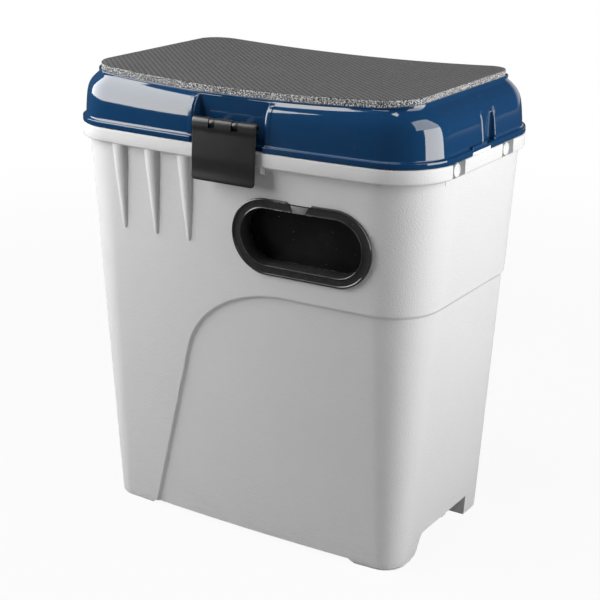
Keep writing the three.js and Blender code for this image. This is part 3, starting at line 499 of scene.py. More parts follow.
def hingeEars(x):
    root = reach(rimPlan(), x) - sink
    y, z, radius = hinge["y"], hinge["z"], hinge["knuckle"]
    slant = radius * math.cos(math.pi / 4)
    outline = [
        (root, bodyHeight + 0.8), (y - radius, z - hinge["root"]), (y + slant, z - slant), (y, z),
        (y - radius, tubHeight - 0.8), (root, tubHeight - 0.8),
    ]
    ears = []
    for end in (-1, 1):
        middle = x + end * (hinge["width"] - hinge["earWidth"]) / 2
        low, high = middle - hinge["earWidth"] / 2, middle + hinge["earWidth"] / 2
        ears.append(eye(outline, low, high, radius, hinge["bore"], y, z, softEdge))
    return ears


# The hatch has a frame of its own: Y runs in through the front wall and Z runs up it
hatch = {
    "place": 68, "height": 294, "length": 117, "width": 50, "bezel": 9, "proud": 2,
    "tunnelWall": 2, "tunnelDepth": 14, "holeGap": 0.4, "ring": 3,
}
draft = math.atan((body["top"]["depth"] - body["foot"]["depth"]) / 2 / bodyHeight)
hatchPlan = bodyPlan(hatch["height"])
turn = math.atan(8 * hatchPlan["bow"] * hatch["place"] / hatchPlan["length"] ** 2)
hatchPlace = (
    Matrix.Translation((hatch["place"], -reach(hatchPlan, hatch["place"]), hatch["height"]))
    @ Matrix.Rotation(turn, 4, "Z") @ Matrix.Rotation(draft, 4, "X")
)


def slotOutline(length, width, steps=24):
    radius = width / 2
    middle = length / 2 - radius
    return arc(middle, 0, radius, -90, 90, steps) + arc(-middle, 0, radius, 90, 270, steps)


def hatchHole():
    growth = 2 * (hatch["tunnelWall"] + hatch["holeGap"])
    hole = prism(slotOutline(hatch["length"] + growth, hatch["width"] + growth), "y", -over, wall + over)
    hole.data.transform(hatchPlace)
    return hole


# The lid
lidSizes = {
    "counts": (72, 36, 16), "flangeHeight": 5.2, "flangeStep": 3, "flangeEdge": 0.8, "fillet": 1.5,
    "dome": [
        (0, 0), (0.2, 0.04), (0.4, 0.095), (0.55, 0.165), (0.68, 0.28),
        (0.8, 0.47), (0.9, 0.7), (0.97, 0.91), (1, 1),
    ],  # height and inward lean, as shares
    "lipHeight": 1.6, "lipWidth": 1.6, "lipEdge": 0.55, "lipGroove": 0.8,
    "lipRise": 0.9, "lipRiseFrom": 135, "lipRiseTo": 168,
    "domeDrop": 1.7, "domeDropFrom": 128, "domeDropTo": 160, "domeDropBelow": 14,
    "ribDepth": 9, "ribThickness": 2.2, "ribPitch": 75, "ribCount": 3,
    "recessHalf": 35.5, "recessDepth": 13.5, "recessLip": 2.2, "recessFillet": 1.2, "notchDepth": 4.5,
    "collarWidth": 5.2, "collarRamp": 0.8, "collarRise": 0.6,
    "lipShares": (0, 0.08, 0.28, 0.6, 1), "lipRoom": 1.6,
    "sideFront": -5, "sideBack": 16, "sideDepth": 7.8, "sideLip": 1.3, "sideCollar": 1.6,
    "riseHeight": 2, "riseWidth": 3.5,
    "lugPlace": 115, "lugWidth": 30, "lugThickness": 2.4, "lugDrop": 6, "lugRise": 7, "lugGap": 0.8,
}
lidSizes.update(
    domeFoot=flangeBottom + lidSizes["flangeHeight"], ledge=flangeBottom + wall,
    recessBack=rimFront + lidSizes["recessDepth"], sideFace=halfRim - lidSizes["sideDepth"],
)
latch = {
    "width": 64, "length": 49.5, "thickness": 3, "barrel": 4.2, "axisHeight": 20, "clearance": 0.7,
    "corner": 3.5, "hookWidth": 44, "hookReach": 1.5, "hookDepth": 4.5, "hookGap": 0.5, "rest": 3.5,
    "pin": 1.5, "bore": 1.8, "lugPlace": 11.6, "lugWidth": 6, "lugRadius": 3.6, "lugSag": 5.5,
    "slotGap": 0.35, "edge": 0.8, "crown": 0.5, "plateStep": 0.45, "stepLow": 7.5, "stepHigh": 4,
    "wave": 0.5, "waveAt": 28, "waveRun": 13, "waveBack": 0.7, "waveBackAt": 41, "waveBackRun": 8,
}
latchY = rimFront - latch["clearance"] - latch["thickness"] + latch["barrel"]
latchZ = tubHeight + latch["axisHeight"]
padSizes = {
    "counts": (110, 64, 16), "length": 325, "depth": 192, "radius": 26, "bow": 6.5,
    "thickness": 7, "edge": 1.1, "foot": 0.4, "sideGap": 0.5, "crown": 0.5, "hollow": 0.25, "edgeDrop": 0.15,
}


def lidPlan(inset, lean):
    s = lidSizes
    lipOuter = s["lipWidth"] + padSizes["sideGap"]
    endLean = (rim["length"] - padSizes["length"]) / 2 - lipOuter - s["flangeStep"]
    sideLean = (rim["depth"] - padSizes["depth"]) / 2 - lipOuter - s["flangeStep"]
    topRadius = padSizes["radius"] + lipOuter
    return {
        "length": rim["length"] - 2 * (inset + lean * endLean),
        "depth": rim["depth"] - 2 * (inset + lean * sideLean),
        "radius": rim["radius"] - inset + lean * (topRadius - rim["radius"] + s["flangeStep"]),
        "bow": rim["bow"] + lean * (padSizes["bow"] - rim["bow"]),
    }


def spline(points, steps):
    # a smooth curve through points, with so many steps to each stretch
    ends = [np.array(p, float) for p in points]
    ends = [2 * ends[0] - ends[1]] + ends + [2 * ends[-1] - ends[-2]]
    curve = [ends[1]]
    for i, count in enumerate(steps):
        a, b, c, d = ends[i:i + 4]
        for k in range(1, count + 1):
            t = k / count
            curve.append(0.5 * (2 * b + (c - a) * t + (2 * a - 5 * b + 4 * c - d) * t * t
                                + (3 * b - a - 3 * c + d) * t ** 3))
    return curve


def lipMove(field, radius):
    if field >= 0:
        return radius
    return radius - math.sqrt(max(0, radius ** 2 - max(0, field + radius) ** 2))


def domeRings(inset, top, counts, steps):
    foot = lidSizes["domeFoot"]
    return [
        ring(lidPlan(inset, lean), foot + rise * (top - foot), counts, rise ** 2)
        for rise, lean in spline(lidSizes["dome"], steps)
    ]


def lidSkin():
    s = lidSizes
    counts = s["counts"]
    edge, step, fillet = s["flangeEdge"], s["flangeStep"], s["fillet"]
    foot, ledge = s["domeFoot"], s["ledge"]
    flange = arc(-edge, flangeBottom + edge, edge, -90, 0, 4) + [(0, ledge - 0.1), (0, ledge + 0.1)]
    flange += arc(-edge, foot - edge, edge, 0, 90, 4)
    flange += arc(-step + fillet, foot + fillet, fillet, 270, 180, 4)
    rings = [ring(rimPlan(-y), z, counts) for y, z in flange]
    dome = domeRings(step, seatHeight, counts, (5, 5, 4, 4, 4, 4, 4, 2))
    rings += [r for r in dome if r[0][2] > foot + fillet + 0.3]
    outside = sum(len(r) for r in rings)
    groove, lipEdge, tall, wide = s["lipGroove"], s["lipEdge"], s["lipHeight"], s["lipWidth"]
    lip = [(-groove, 0.02), (-groove, 0.3), (0, 0.45)] + arc(-lipEdge, tall - lipEdge, lipEdge, 0, 90, 3)
    lip += arc(-wide + lipEdge, tall - lipEdge, lipEdge, 90, 180, 3) + [(-wide, 0)]
    rings += [ring(lidPlan(step - y, 1), seatHeight + z, counts, 1) for y, z in lip]
    lid = loft("lidShell", rings, counts)
    for vert in lid.data.vertices:
        # the lip stands higher at the two ends of the seat, and the dome outside it lies lower
        rise, x = vert.co.z + saddleAt(vert.co.x, padLength) - seatHeight, abs(vert.co.x)
        if vert.index < outside:
            fade = smooth(-s["domeDropBelow"], -0.5, rise)
            vert.co.z -= s["domeDrop"] * fade * smooth(s["domeDropFrom"], s["domeDropTo"], x)
        else:
            vert.co.z += s["lipRise"] * smooth(0.1, tall, rise) * smooth(s["lipRiseFrom"], s["lipRiseTo"], x)
    return lid


def pressRecesses(lid):
    # the latch's recess in the front and one in each end, with rounded lips and raised collars
    s = lidSizes
    half, backY, sideX = s["recessHalf"], s["recessBack"], s["sideFace"]
    lip, sideLip, fillet = s["recessLip"], s["sideLip"], s["recessFillet"]
    collar, sideCollar, ramp = s["collarWidth"], s["sideCollar"], s["collarRamp"]
    sideMiddle, sideHalf = (s["sideFront"] + s["sideBack"]) / 2, (s["sideBack"] - s["sideFront"]) / 2
    overFlange = s["domeFoot"] + 0.02
    collarFoot = s["domeFoot"] + s["fillet"]
    with meshOf(lid) as bm:
        front = bm.verts.layers.float.new("front")
        side = bm.verts.layers.float.new("side")

        def markSides():
            for vert in bm.verts:
                x, y, z = vert.co
                vert[front] = half - abs(x) if y < backY else aside
                vert[side] = sideHalf - abs(y - sideMiddle) if abs(x) > sideX and z > overFlange else aside

        markSides()
        steps = [-lip * share for share in s["lipShares"]]
        cutAlong(bm, front, [1.2, 0.6, 0.2] + steps + [-collar, -collar - ramp / 2, -collar - ramp], 0.06)
        markSides()
        steps = [-sideLip * share for share in s["lipShares"]]
        cutAlong(bm, side, [0.2] + steps + [-sideCollar, -sideCollar - ramp], 0.06)
        bm.normal_update()
        normals = {vert: vert.normal.copy() for vert in bm.verts}
        for vert, normal in normals.items():
            x, y, z = vert.co
            raised = s["collarRise"] * smooth(collarFoot - 0.1, collarFoot + 0.8, z)
            if y < backY and abs(x) < half + collar + ramp + 1:
                field = vert[front]
                room = min(1, (backY - y) / lip / s["lipRoom"])
                if field > 0 and z < s["ledge"]:
                    vert.co.y = max(y, rimFront + s["notchDepth"])
                elif field > 0:
                    short = max(0, fillet - field)
                    vert.co.y = max(y, backY - fillet + math.sqrt(max(0, fillet ** 2 - short ** 2)))
                else:
                    rise = raised * room * smooth(-collar - ramp, -collar, field)
                    vert.co += normal * (rise - room * lipMove(field, lip))
                    if y + lip > backY:
                        vert.co.y = min(vert.co.y, max(y, backY))
            if abs(x) > sideX and z > overFlange:
                field = vert[side]
                room = min(1, (abs(x) - sideX) / sideLip / s["lipRoom"])
                if field > 0:
                    vert.co.x = math.copysign(sideX, x)
                elif field > -sideCollar - ramp:
                    rise = raised * room * smooth(-sideCollar - ramp, -sideCollar, field)
                    vert.co += normal * (rise - room * lipMove(field, sideLip))
        bmesh.ops.triangulate(bm, faces=[f for f in bm.faces if len(f.verts) > 4])


def makeLid():
    s = lidSizes
    foot, ledge, step = s["domeFoot"], s["ledge"], s["flangeStep"]
    half, backY, sideX = s["recessHalf"], s["recessBack"], s["sideFace"]
    lid = lidSkin()
    pressRecesses(lid)
    plain = (40, 20, 12)
    inner = [ring(lidPlan(step + wall, 0), flangeBottom - over, plain)]
    inner += domeRings(step + wall, seatHeight - wall, plain, (1,) * 8)
    hollow = loft("hollow", inner, plain)
    crest = seatHeight + over
    solid = [block(-half - wall, half + wall, rimFront - over, backY + wall, ledge - wall, crest)]
    low = seatHeight - wall - s["ribDepth"] - saddleDip
    thick = s["ribThickness"] / 2
    for number in range(s["ribCount"]):
        x = (number - (s["ribCount"] - 1) / 2) * s["ribPitch"]
        solid.append(block(x - thick, x + thick, -rim["depth"], rim["depth"], low, crest))
    solid.append(block(-rim["length"], rim["length"], -thick, thick, low, crest))
    for sign in (-1, 1):
        solid.append(block(
            *stretch(sign, sideX - wall, halfRim + over),
            s["sideFront"] - wall, s["sideBack"] + wall, ledge - wall, crest,
        ))
    cut(lid, cut(hollow, *solid))

    extras, cuts = [], []
    for sign in (-1, 1):
        extras.append(block(
            *stretch(sign, halfRim - s["riseWidth"], halfRim - 0.1),
            cutBack["front"], s["sideFront"] - 0.6, foot - s["flangeEdge"] - 1, foot + s["riseHeight"], 0.5,
        ))
        cuts.append(block(
            *stretch(sign, halfRim - cutBack["depth"], halfRim + over),
            cutBack["front"], cutBack["back"], flangeBottom - over, flangeBottom + cutBack["height"],
        ))
    join(lid, *extras)
    cut(lid, *cuts)
    extras = []
    for sign in (-1, 1):
        extras.append(lidKnuckle(sign * hinge["place"]))
        for end in (-1, 1):
            extras.append(findingLug(sign * s["lugPlace"], end))
    return join(lid, *extras)


def findingLug(x, end):
    s = lidSizes
    outer = reach(bodyPlan(bodyHeight, wall), abs(x) + s["lugWidth"] / 2) - s["lugGap"]
    root = reach(lidPlan(s["flangeStep"] + wall, 0), x) + sink
    thick, low = s["lugThickness"], tubHeight - s["lugDrop"]
    outline = [
        (end * (outer - thick), low), (end * outer, low),
        (end * outer, flangeBottom), (end * root, flangeBottom), (end * root, flangeBottom + s["lugRise"]),
        (end * (outer - thick), flangeBottom + thick),
    ]
    return prism(outline, "x", x - s["lugWidth"] / 2, x + s["lugWidth"] / 2, softEdge)


def lidKnuckle(x):
    s = lidSizes
    root = reach(rimPlan(), x) - s["flangeStep"]
    y, z, radius = hinge["y"], hinge["z"], hinge["knuckle"]
    low = flangeBottom + seatGap
    outline = [
        (root, low), (y - radius / 2, low), (y, z), (y, z + radius),
        (root, flangeBottom + s["flangeHeight"] - s["flangeEdge"]),
    ]
    half = hinge["width"] / 2 - hinge["earWidth"] - pinGap
    return eye(outline, x - half, x + half, radius, hinge["bore"], y, z, fineEdge)


def latchArm(sign):
    # an arm from the back of the recess to the latch's pin
    x, radius = sign * latch["lugPlace"], latch["lugRadius"]
    root, drop = lidSizes["recessBack"] + 0.5, latch["lugSag"]
    low, high = x - latch["lugWidth"] / 2, x + latch["lugWidth"] / 2
    outline = [
        (root, latchZ - radius - drop), (root, latchZ + radius - drop),
        (latchY, latchZ + radius), (latchY, latchZ - radius),
    ]
    return eye(outline, low, high, radius, latch["bore"], latchY, latchZ, softEdge)


# The seat pad: a sheet of foam with a cut edge, laid in the saddle of the lid
def makePad():
    s = padSizes
    bottom = seatHeight + seatGap
    top = bottom + s["thickness"]

    foot, edge = s["foot"], s["edge"]
    profile = arc(-foot, bottom + foot, foot, -90, 0, 3)
    for share in (0.3, 0.6):
        profile.append((-s["hollow"] * math.sin(math.pi * share), bottom + share * s["thickness"]))
    profile += [(y, z - s["edgeDrop"] * (1 + y / edge)) for y, z in arc(-edge, top - edge, edge, 0, 90, 5)]
    pad = loft("padShape", [ring(shrunk(s, -y), z, s["counts"], 1) for y, z in profile], s["counts"])
    outline = planOutline(s, s["counts"])
    places = np.array([v.co[:] for v in pad.data.vertices])
    inside = np.clip(polygonDistance(places[:, :2], outline), 0, 40) / 40
    high = places[:, 2] > bottom + s["thickness"] / 2 - saddleDip * 2
    lift = np.where(high, inside * (2 - inside) * s["crown"], 0)
    flatTop = places[:, 2] + saddleAt(places[:, 0], padLength) > top - 0.4
    for vert, rise, onTop in zip(pad.data.vertices, lift, flatTop):
        if onTop:
            vert.co.z += rise
    return emboss(pad, top, outline)


def emboss(pad, top, outline):
    # the skin's slanting rows, pressed into a finer top
    s = padFinish
    angle, turn = math.radians(s["rowAngle"]), 2 * math.pi / s["rowPitch"]
    with meshOf(pad) as bm:
        flat = [f for f in bm.faces if f.normal.z > 0.7 and f.calc_center_median().z > top - 12]
        edges = {edge for face in flat for edge in face.edges}
        bmesh.ops.subdivide_edges(bm, edges=list(edges), cuts=1, use_grid_fill=True)
        bm.normal_update()
        chosen = [v for v in bm.verts if v.normal.z > 0.9 and v.co.z > top - 12]
        places = np.array([v.co[:] for v in chosen])
        reachIn = np.clip((polygonDistance(places[:, :2], outline) - 1.5) / 4.5, 0, 1)
        fade = reachIn * reachIn * (3 - 2 * reachIn)
        across = places[:, 0] * math.cos(angle) + places[:, 1] * math.sin(angle)
        along = places[:, 1] * math.cos(angle) - places[:, 0] * math.sin(angle)
        relief = np.sin(across * turn) * (0.6 + 0.4 * np.sin(along * turn))
        for vert, rise in zip(chosen, relief * fade * s["relief"]):
            vert.co.z += rise
    return pad


def latchWave(z):
    # the plate lies a little behind the barrel, and its face leans in and out again near its foot
    s = latch
    step = s["plateStep"] * (1 - smooth(-s["stepLow"], -s["stepHigh"], z))
    leanIn = smooth(0, 1, (-s["waveAt"] - z) / s["waveRun"])
    leanOut = s["waveBack"] * smooth(0, 1, (-s["waveBackAt"] - z) / s["waveBackRun"])
    return step + s["wave"] * (leanIn - leanOut)


# The latch, drawn about its own axis with its plate hanging straight down
def makeLatch():
    s = latch
    half, barrel, inner = s["width"] / 2, s["barrel"], s["thickness"] - s["barrel"]
    meet = -math.degrees(math.acos(inner / barrel))
    stations = [-half + d for d in (0, 0.12, 0.4, 0.8)] + list(np.linspace(-half + 1.4, half - 1.4, 45))
    stations += [half - d for d in (0.8, 0.4, 0.12, 0)]
    loops = []
    for x in stations:
        side = half - abs(x)
        shrink = s["edge"] - math.sqrt(max(0, s["edge"] ** 2 - max(0, s["edge"] - side) ** 2))
        bottom = -s["length"]
        if side < s["corner"]:
            bottom += s["corner"] - math.sqrt(max(0, s["corner"] ** 2 - (s["corner"] - side) ** 2))
        crown = s["crown"] * (x / half) ** 2
        back = inner - shrink
        edge = s["edge"]
        roundBarrel = arc(0, 0, barrel - shrink, 180, meet, 22)
        loop = [(y + crown * smooth(0, 1, -y / barrel), z) for y, z in roundBarrel]
        loop += [(back, z) for z in np.linspace(-7, bottom + edge + shrink, 8)]
        front = -barrel + shrink + crown + latchWave(bottom + edge)
        middle = (front + back) / 2
        for k in range(1, 8):
            angle = math.pi * k / 8
            loop.append((
                middle + (back - middle) * math.cos(angle),
                bottom + edge + shrink - edge * math.sin(angle),
            ))
        for z in np.linspace(bottom + edge + shrink, -0.6, 34):
            loop.append((-barrel + shrink + crown + latchWave(z), z))
        loops.append([(x, y, z) for y, z in loop])
    shape = skin("latchShape", loops)
    with meshOf(shape) as bm:
        bmesh.ops.recalc_face_normals(bm, faces=bm.faces)
    hookTop = bodyHeight - s["hookGap"] - latchZ
    tip = inner + s["clearance"] + s["hookReach"]
    hook = prism([
        (inner - 1, hookTop), (inner - 1, hookTop - s["hookDepth"] - 1), (inner, hookTop - s["hookDepth"]),
        (tip, hookTop - s["hookReach"]), (tip, hookTop),
    ], "x", -s["hookWidth"] / 2, s["hookWidth"] / 2, fineEdge)
    join(shape, hook)
    cuts = []
    for sign in (-1, 1):
        x, reachOut = sign * s["lugPlace"], s["lugWidth"] / 2 + s["slotGap"]
        deep, low = barrel + over, -barrel - s["slotGap"]
        cuts.append(block(x - reachOut, x + reachOut, -deep, deep, low, over * 2))
    cuts.append(rod("x", s["bore"], 0, 0, -half - over, half + over))
    cut(shape, *cuts)
    shape.data.transform(
        Matrix.Translation((0, latchY, latchZ)) @ Matrix.Rotation(-math.radians(s["rest"]), 4, "X")
    )
    return shape


# Geometry Nodes: a tree with named inputs, and its result turned into a plain mesh

def nodeTree(name, inputs):
    tree = bpy.data.node_groups.new(name, "GeometryNodeTree")
    tree.interface.new_socket("Geometry", in_out="OUTPUT", socket_type="NodeSocketGeometry")
    for label, kind in inputs.items():
        tree.interface.new_socket(label, in_out="INPUT", socket_type="NodeSocket" + kind)
    return tree, tree.nodes.new("NodeGroupInput")


def isSocket(value):
    return isinstance(value, bpy.types.NodeSocket)


def addNode(tree, kind, values=None, **settings):
    node = tree.nodes.new(kind)
    for key, value in settings.items():
        setattr(node, key, value)
    for key, value in (values or {}).items():
        if isSocket(value):
            tree.links.new(value, node.inputs[key])
        else:
            node.inputs[key].default_value = value
    return node


def transformed(tree, node, label, value):
    return addNode(tree, "GeometryNodeTransform", {"Geometry": node.outputs[0], label: value})


def joinNodes(tree, *nodes):
    both = addNode(tree, "GeometryNodeJoinGeometry")
    for node in nodes:
        tree.links.new(node.outputs[0], both.inputs[0])
    return both.outputs[0]


def endTree(tree, geometry, material):
    # instances made real, with their material set
    real = addNode(tree, "GeometryNodeRealizeInstances", {"Geometry": geometry})
    painted = addNode(tree, "GeometryNodeSetMaterial", {"Geometry": real.outputs[0], "Material": material})
    output = tree.nodes.new("NodeGroupOutput")
    tree.links.new(painted.outputs[0], output.inputs[0])


def growTree(tree, values, place=Matrix()):
    obj = newObject(tree.name, bpy.data.meshes.new(tree.name))
    step = obj.modifiers.new("nodes", "NODES")
    step.node_group = tree
    sockets = {item.name: item.identifier for item in tree.interface.items_tree if item.in_out == "INPUT"}
    for label, value in values.items():
        step[sockets[label]] = value
    bakeModifiers(obj)
    for value in values.values():
        if isinstance(value, bpy.types.Object):
            bpy.data.objects.remove(value)
    obj.data.transform(place)
    return obj


def flatCurve(points, closed=True):
    curve = bpy.data.curves.new("section", "CURVE")
    curve.dimensions = "3D"
    spline = curve.splines.new("POLY")
    spline.points.add(len(points) - 1)
    spline.use_cyclic_u = closed
    for point, (u, v) in zip(spline.points, points):
        point.co = (u, v, 0, 1)
    return newObject("section", curve)


def sweepTree(material):
    # a section swept round a slot, its U pointing out of the slot and its V running into the wall
    tree, inputs = nodeTree("slotSweep", {
        "Length": "Float", "Width": "Float", "Corner steps": "Int", "Section": "Object",
    })
    half = addNode(tree, "ShaderNodeMath", {0: inputs.outputs["Width"], 1: 0.5}, operation="MULTIPLY")
    path = addNode(tree, "GeometryNodeCurvePrimitiveQuadrilateral", {
        "Width": inputs.outputs["Length"], "Height": inputs.outputs["Width"],
    })
    rounded = addNode(tree, "GeometryNodeFilletCurve", {
        "Curve": path.outputs[0], "Count": inputs.outputs["Corner steps"],
        "Radius": half.outputs[0], "Limit Radius": True,
    }, mode="POLY")
    level = addNode(tree, "GeometryNodeSetCurveNormal", {"Curve": rounded.outputs[0]}, mode="Z_UP")
    section = addNode(tree, "GeometryNodeObjectInfo", {"Object": inputs.outputs["Section"]})
    swept = addNode(tree, "GeometryNodeCurveToMesh", {
        "Curve": level.outputs[0], "Profile Curve": section.outputs["Geometry"],
    })
    endTree(tree, transformed(tree, swept, "Rotation", (math.pi / 2, 0, 0)).outputs[0], material)
    return tree


def rowTree(name, material):
    # copies of one piece in a row; the caller may double the row before it ends the tree
    tree, inputs = nodeTree(name, {
        "Piece": "Object", "Count": "Int", "Start": "Vector", "Pitch": "Vector",
    })
    line = addNode(tree, "GeometryNodeMeshLine", {
        "Count": inputs.outputs["Count"], "Start Location": inputs.outputs["Start"],
        "Offset": inputs.outputs["Pitch"],
    })
    piece = addNode(tree, "GeometryNodeObjectInfo", {"Object": inputs.outputs["Piece"]})
    copies = addNode(tree, "GeometryNodeInstanceOnPoints", {
        "Points": line.outputs[0], "Instance": piece.outputs["Geometry"],
    })
    return tree, copies


# The hatch
bezel = {
    "bead": 1.15, "bandDrop": 0.95, "innerBead": 0.7, "flangeBack": 1.2, "tabThickness": 1.2, "wearHighlightBand": 0.6,
    "notchHalf": 13, "facetTop": 10, "facetFoot": 5.5, "cornerSteps": 26,
    "screwPlace": 40, "screwRadius": 1.2, "headRadius": 2.3, "headHeight": 1.6, "bite": 1.2,
    "slotDepth": 0.7, "slotHalf": 0.3,
    "flapThickness": 2.4, "flapRim": 2, "flapLip": 1.6, "axisRise": 4.2, "knuckle": 3, "pin": 1.3,
    "knucklePlace": 24, "knuckleWidth": 8,
}


def makeHatchFrame(material):
    s, h = bezel, hatch
    wide, proud = h["bezel"], h["proud"]
    bead, inner = s["bead"], s["innerBead"]
    band = proud - s["bandDrop"]
    back, chamfer = s["flangeBack"], s["flangeBack"] / 2
    section = [(0, h["tunnelDepth"]), (h["tunnelWall"], h["tunnelDepth"]), (h["tunnelWall"], back)]
    section += [(wide - chamfer, back), (wide, back - chamfer)]
    section += [(u, -v) for u, v in arc(wide - bead, proud - bead, bead, 0, 165, 12)]
    section += [(wide - 2 * bead - 0.25, -band), (2 * inner + 0.25, -band - 0.1)]
    section += [(u, -v) for u, v in arc(inner, band + 0.1, inner, 10, 180, 9)]
    # the hatch's lighter edge colour at the tunnel's end is wear and painted highlight, as on its beads
    section.append((0, h["tunnelDepth"] - s["wearHighlightBand"]))  # keeps the wear of the tunnel's end at its edge
    frameShape = growTree(sweepTree(material), {
        "Length": h["length"], "Width": h["width"], "Corner steps": s["cornerSteps"],
        "Section": flatCurve(section[::-1]),  # the other way round, the faces would point inwards
    })
    foot = h["width"] / 2
    levels = [
        (foot - 0.5, s["facetFoot"] - 0.5, -proud - 0.2), (foot + 5.5, s["facetTop"], -0.5),
        (foot + 8, s["facetTop"] + 1.6, 0.2), (foot + wide + over, s["notchHalf"] + 3, 2.5),
    ]
    cut(frameShape, skin("scoop", [
        [(-half, -over, z), (half, -over, z), (half, deep, z), (-half, deep, z)] for z, half, deep in levels
    ]))
    ears = []
    deep, rise, radius = flapAxis()
    top = h["width"] / 2 + h["tunnelWall"]
    for side in (-1, 1):
        near = s["knucklePlace"] + s["knuckleWidth"] / 2 + pinGap
        low, high = stretch(side, near, near + 2 * h["tunnelWall"])
        outline = [
            (wall + h["ring"] + 1.2, top - 1), (h["tunnelDepth"], top - 1), (h["tunnelDepth"], top + seatGap),
            (deep, rise), (deep, rise + radius), (deep - radius, rise + radius),
        ]
        ears.append(eye(outline, low, high, radius, s["pin"] + pinGap, deep, rise, fineEdge))
    join(frameShape, *ears)
    frameShape.data.transform(hatchPlace)
    return frameShape


def makeFingerTab():
    # the small sloping tab in the bezel's notch
    s, h = bezel, hatch
    foot, thick = h["width"] / 2, s["tabThickness"]
    levels = [(foot + 0.6, s["facetFoot"], -h["proud"] + 0.1), (foot + 6.2, s["facetTop"] - 1.5, -1.0)]
    tab = skin("fingerTab", [
        [(-half, y, z), (half, y, z), (half, y + thick, z), (-half, y + thick, z)] for z, half, y in levels
    ])
    step = tab.modifiers.new("soft", "BEVEL")
    step.width, step.segments = 0.25, 2
    bakeModifiers(tab)
    tab.data.transform(hatchPlace)
    return tab


def flapAxis():
    # the pin's depth and height in the hatch's own frame, and its knuckles' radius
    s, h = bezel, hatch
    deep = h["tunnelDepth"] + seatGap + s["flapThickness"] / 2
    return deep, h["width"] / 2 + h["tunnelWall"] + s["axisRise"], s["knuckle"]


def makeFlap():
    s, h = bezel, hatch
    length, width = h["length"] + 2 * h["tunnelWall"], h["width"] + 2 * h["tunnelWall"]
    near = h["tunnelDepth"] + seatGap
    back = near + s["flapThickness"]
    flap = prism(slotOutline(length, width), "y", near, back + s["flapLip"], softEdge)
    cut(flap, prism(slotOutline(length - 2 * s["flapRim"], width - 2 * s["flapRim"]), "y", back, back + over))
    deep, rise, radius = flapAxis()
    parts, bores = [], []
    for side in (-1, 1):
        place, half = side * s["knucklePlace"], s["knuckleWidth"] / 2
        low, high = place - half, place + half
        outline = [(near, width / 2 - 2), (back, width / 2 - 2), (deep + radius, rise), (deep, rise)]
        parts += [prism(outline, "x", low, high), rod("x", radius, deep, rise, low, high, bevel=fineEdge)]
        bores.append(rod("x", s["pin"] + pinGap, deep, rise, low - sink, high + sink))
    cut(join(flap, *parts), *bores)
    flap.data.transform(hatchPlace)
    return flap


def makeScrews(material):
    s, h = bezel, hatch
    seat = wall + h["ring"] + seatGap
    screw = join(
        rod("y", s["screwRadius"], 0, 0, s["bite"] - h["proud"], seat + 0.5, 20),
        rod("y", s["headRadius"], 0, 0, seat, seat + s["headHeight"], 32, 0.35),
    )
    slotFloor, slotHalf = seat + s["headHeight"] - s["slotDepth"], s["slotHalf"]
    cut(
        screw, block(-over, over, slotFloor, seat + over, -slotHalf, slotHalf),
        block(-slotHalf, slotHalf, slotFloor, seat + over, -over, over),
    )
    tree, copies = rowTree("hatchScrews", material)
    rise = (h["width"] + h["tunnelWall"] + h["bezel"]) / 2
    lower = transformed(tree, copies, "Translation", (0, 0, -rise))
    upper = transformed(tree, copies, "Translation", (0, 0, rise))
    endTree(tree, joinNodes(tree, lower, upper), material)
    place = s["screwPlace"]
    return growTree(tree, {
        "Piece": screw, "Count": 2, "Start": (-place, 0, 0), "Pitch": (2 * place, 0, 0),
    }, hatchPlace)


# Strap studs, two on each side of the rim
stud = {
    "disc": 5.6, "discThickness": 2.6, "neck": 3.6, "neckLength": 1.6, "peg": 2, "pegLength": 2.6,
    "drop": 6.8, "edge": 0.5, "dish": 0.35,
}


def makeStuds(material):
    s = stud
    face = halfRim - tubSizes["notchDepth"] + seatGap
    out = s["neckLength"] + s["discThickness"]
    section = [(0, -s["pegLength"]), (s["peg"], -s["pegLength"]), (s["peg"], 0), (s["neck"], 0)]
    section += [
        (s["neck"], s["neckLength"]), (s["disc"] - fineEdge, s["neckLength"]),
        (s["disc"], s["neckLength"] + fineEdge),
    ]
    section += arc(s["disc"] - s["edge"], out - s["edge"], s["edge"], 0, 90, 5)
    section += [(s["disc"] - 1.2, out), (s["disc"] - 1.6, out - s["dish"]), (0, out - s["dish"])]
    bm = bmesh.new()
    verts = [bm.verts.new((v + face, 0, u)) for u, v in section]
    edges = [bm.edges.new(pair) for pair in zip(verts, verts[1:])]
    bmesh.ops.spin(bm, geom=verts + edges, axis=(1, 0, 0), cent=(0, 0, 0), steps=48, angle=2 * math.pi)
    bmesh.ops.remove_doubles(bm, verts=bm.verts, dist=0.001)
    bmesh.ops.recalc_face_normals(bm, faces=bm.faces)
    mesh = bpy.data.meshes.new("stud")
    bm.to_mesh(mesh)
    bm.free()
    tree, copies = rowTree("strapStuds", material)
    flip = transformed(tree, copies, "Rotation", (0, 0, math.pi))
    back = transformed(tree, flip, "Translation", (0, sum(studPlaces), 0))
    endTree(tree, joinNodes(tree, copies, back), material)
    return growTree(tree, {
        "Piece": newObject("stud", mesh), "Count": 2, "Start": (0, studPlaces[0], tubHeight - s["drop"]),
        "Pitch": (0, studPlaces[1] - studPlaces[0], 0),
    })


# The tray and its dividers
tray = {
    "counts": (24, 12, 10), "clearance": 9, "wall": 2, "floor": 2.5, "longWall": 6, "crossWall": 62,
    "gripRadius": 14, "gripDrop": 4, "pitch": 82, "dividers": 3, "dividerThickness": 2, "dividerDrop": 2,
    "railHeight": 3, "railWidth": 1.5, "edge": 0.6,
}
trayTop = tubSizes["trayTop"]
trayBottom = trayTop - tubSizes["trayHeight"]


def trayPlan(z, inset):
    plan = bodyPlan(z, wall + tray["clearance"] + inset)
    plan["bow"] = 0
    return plan


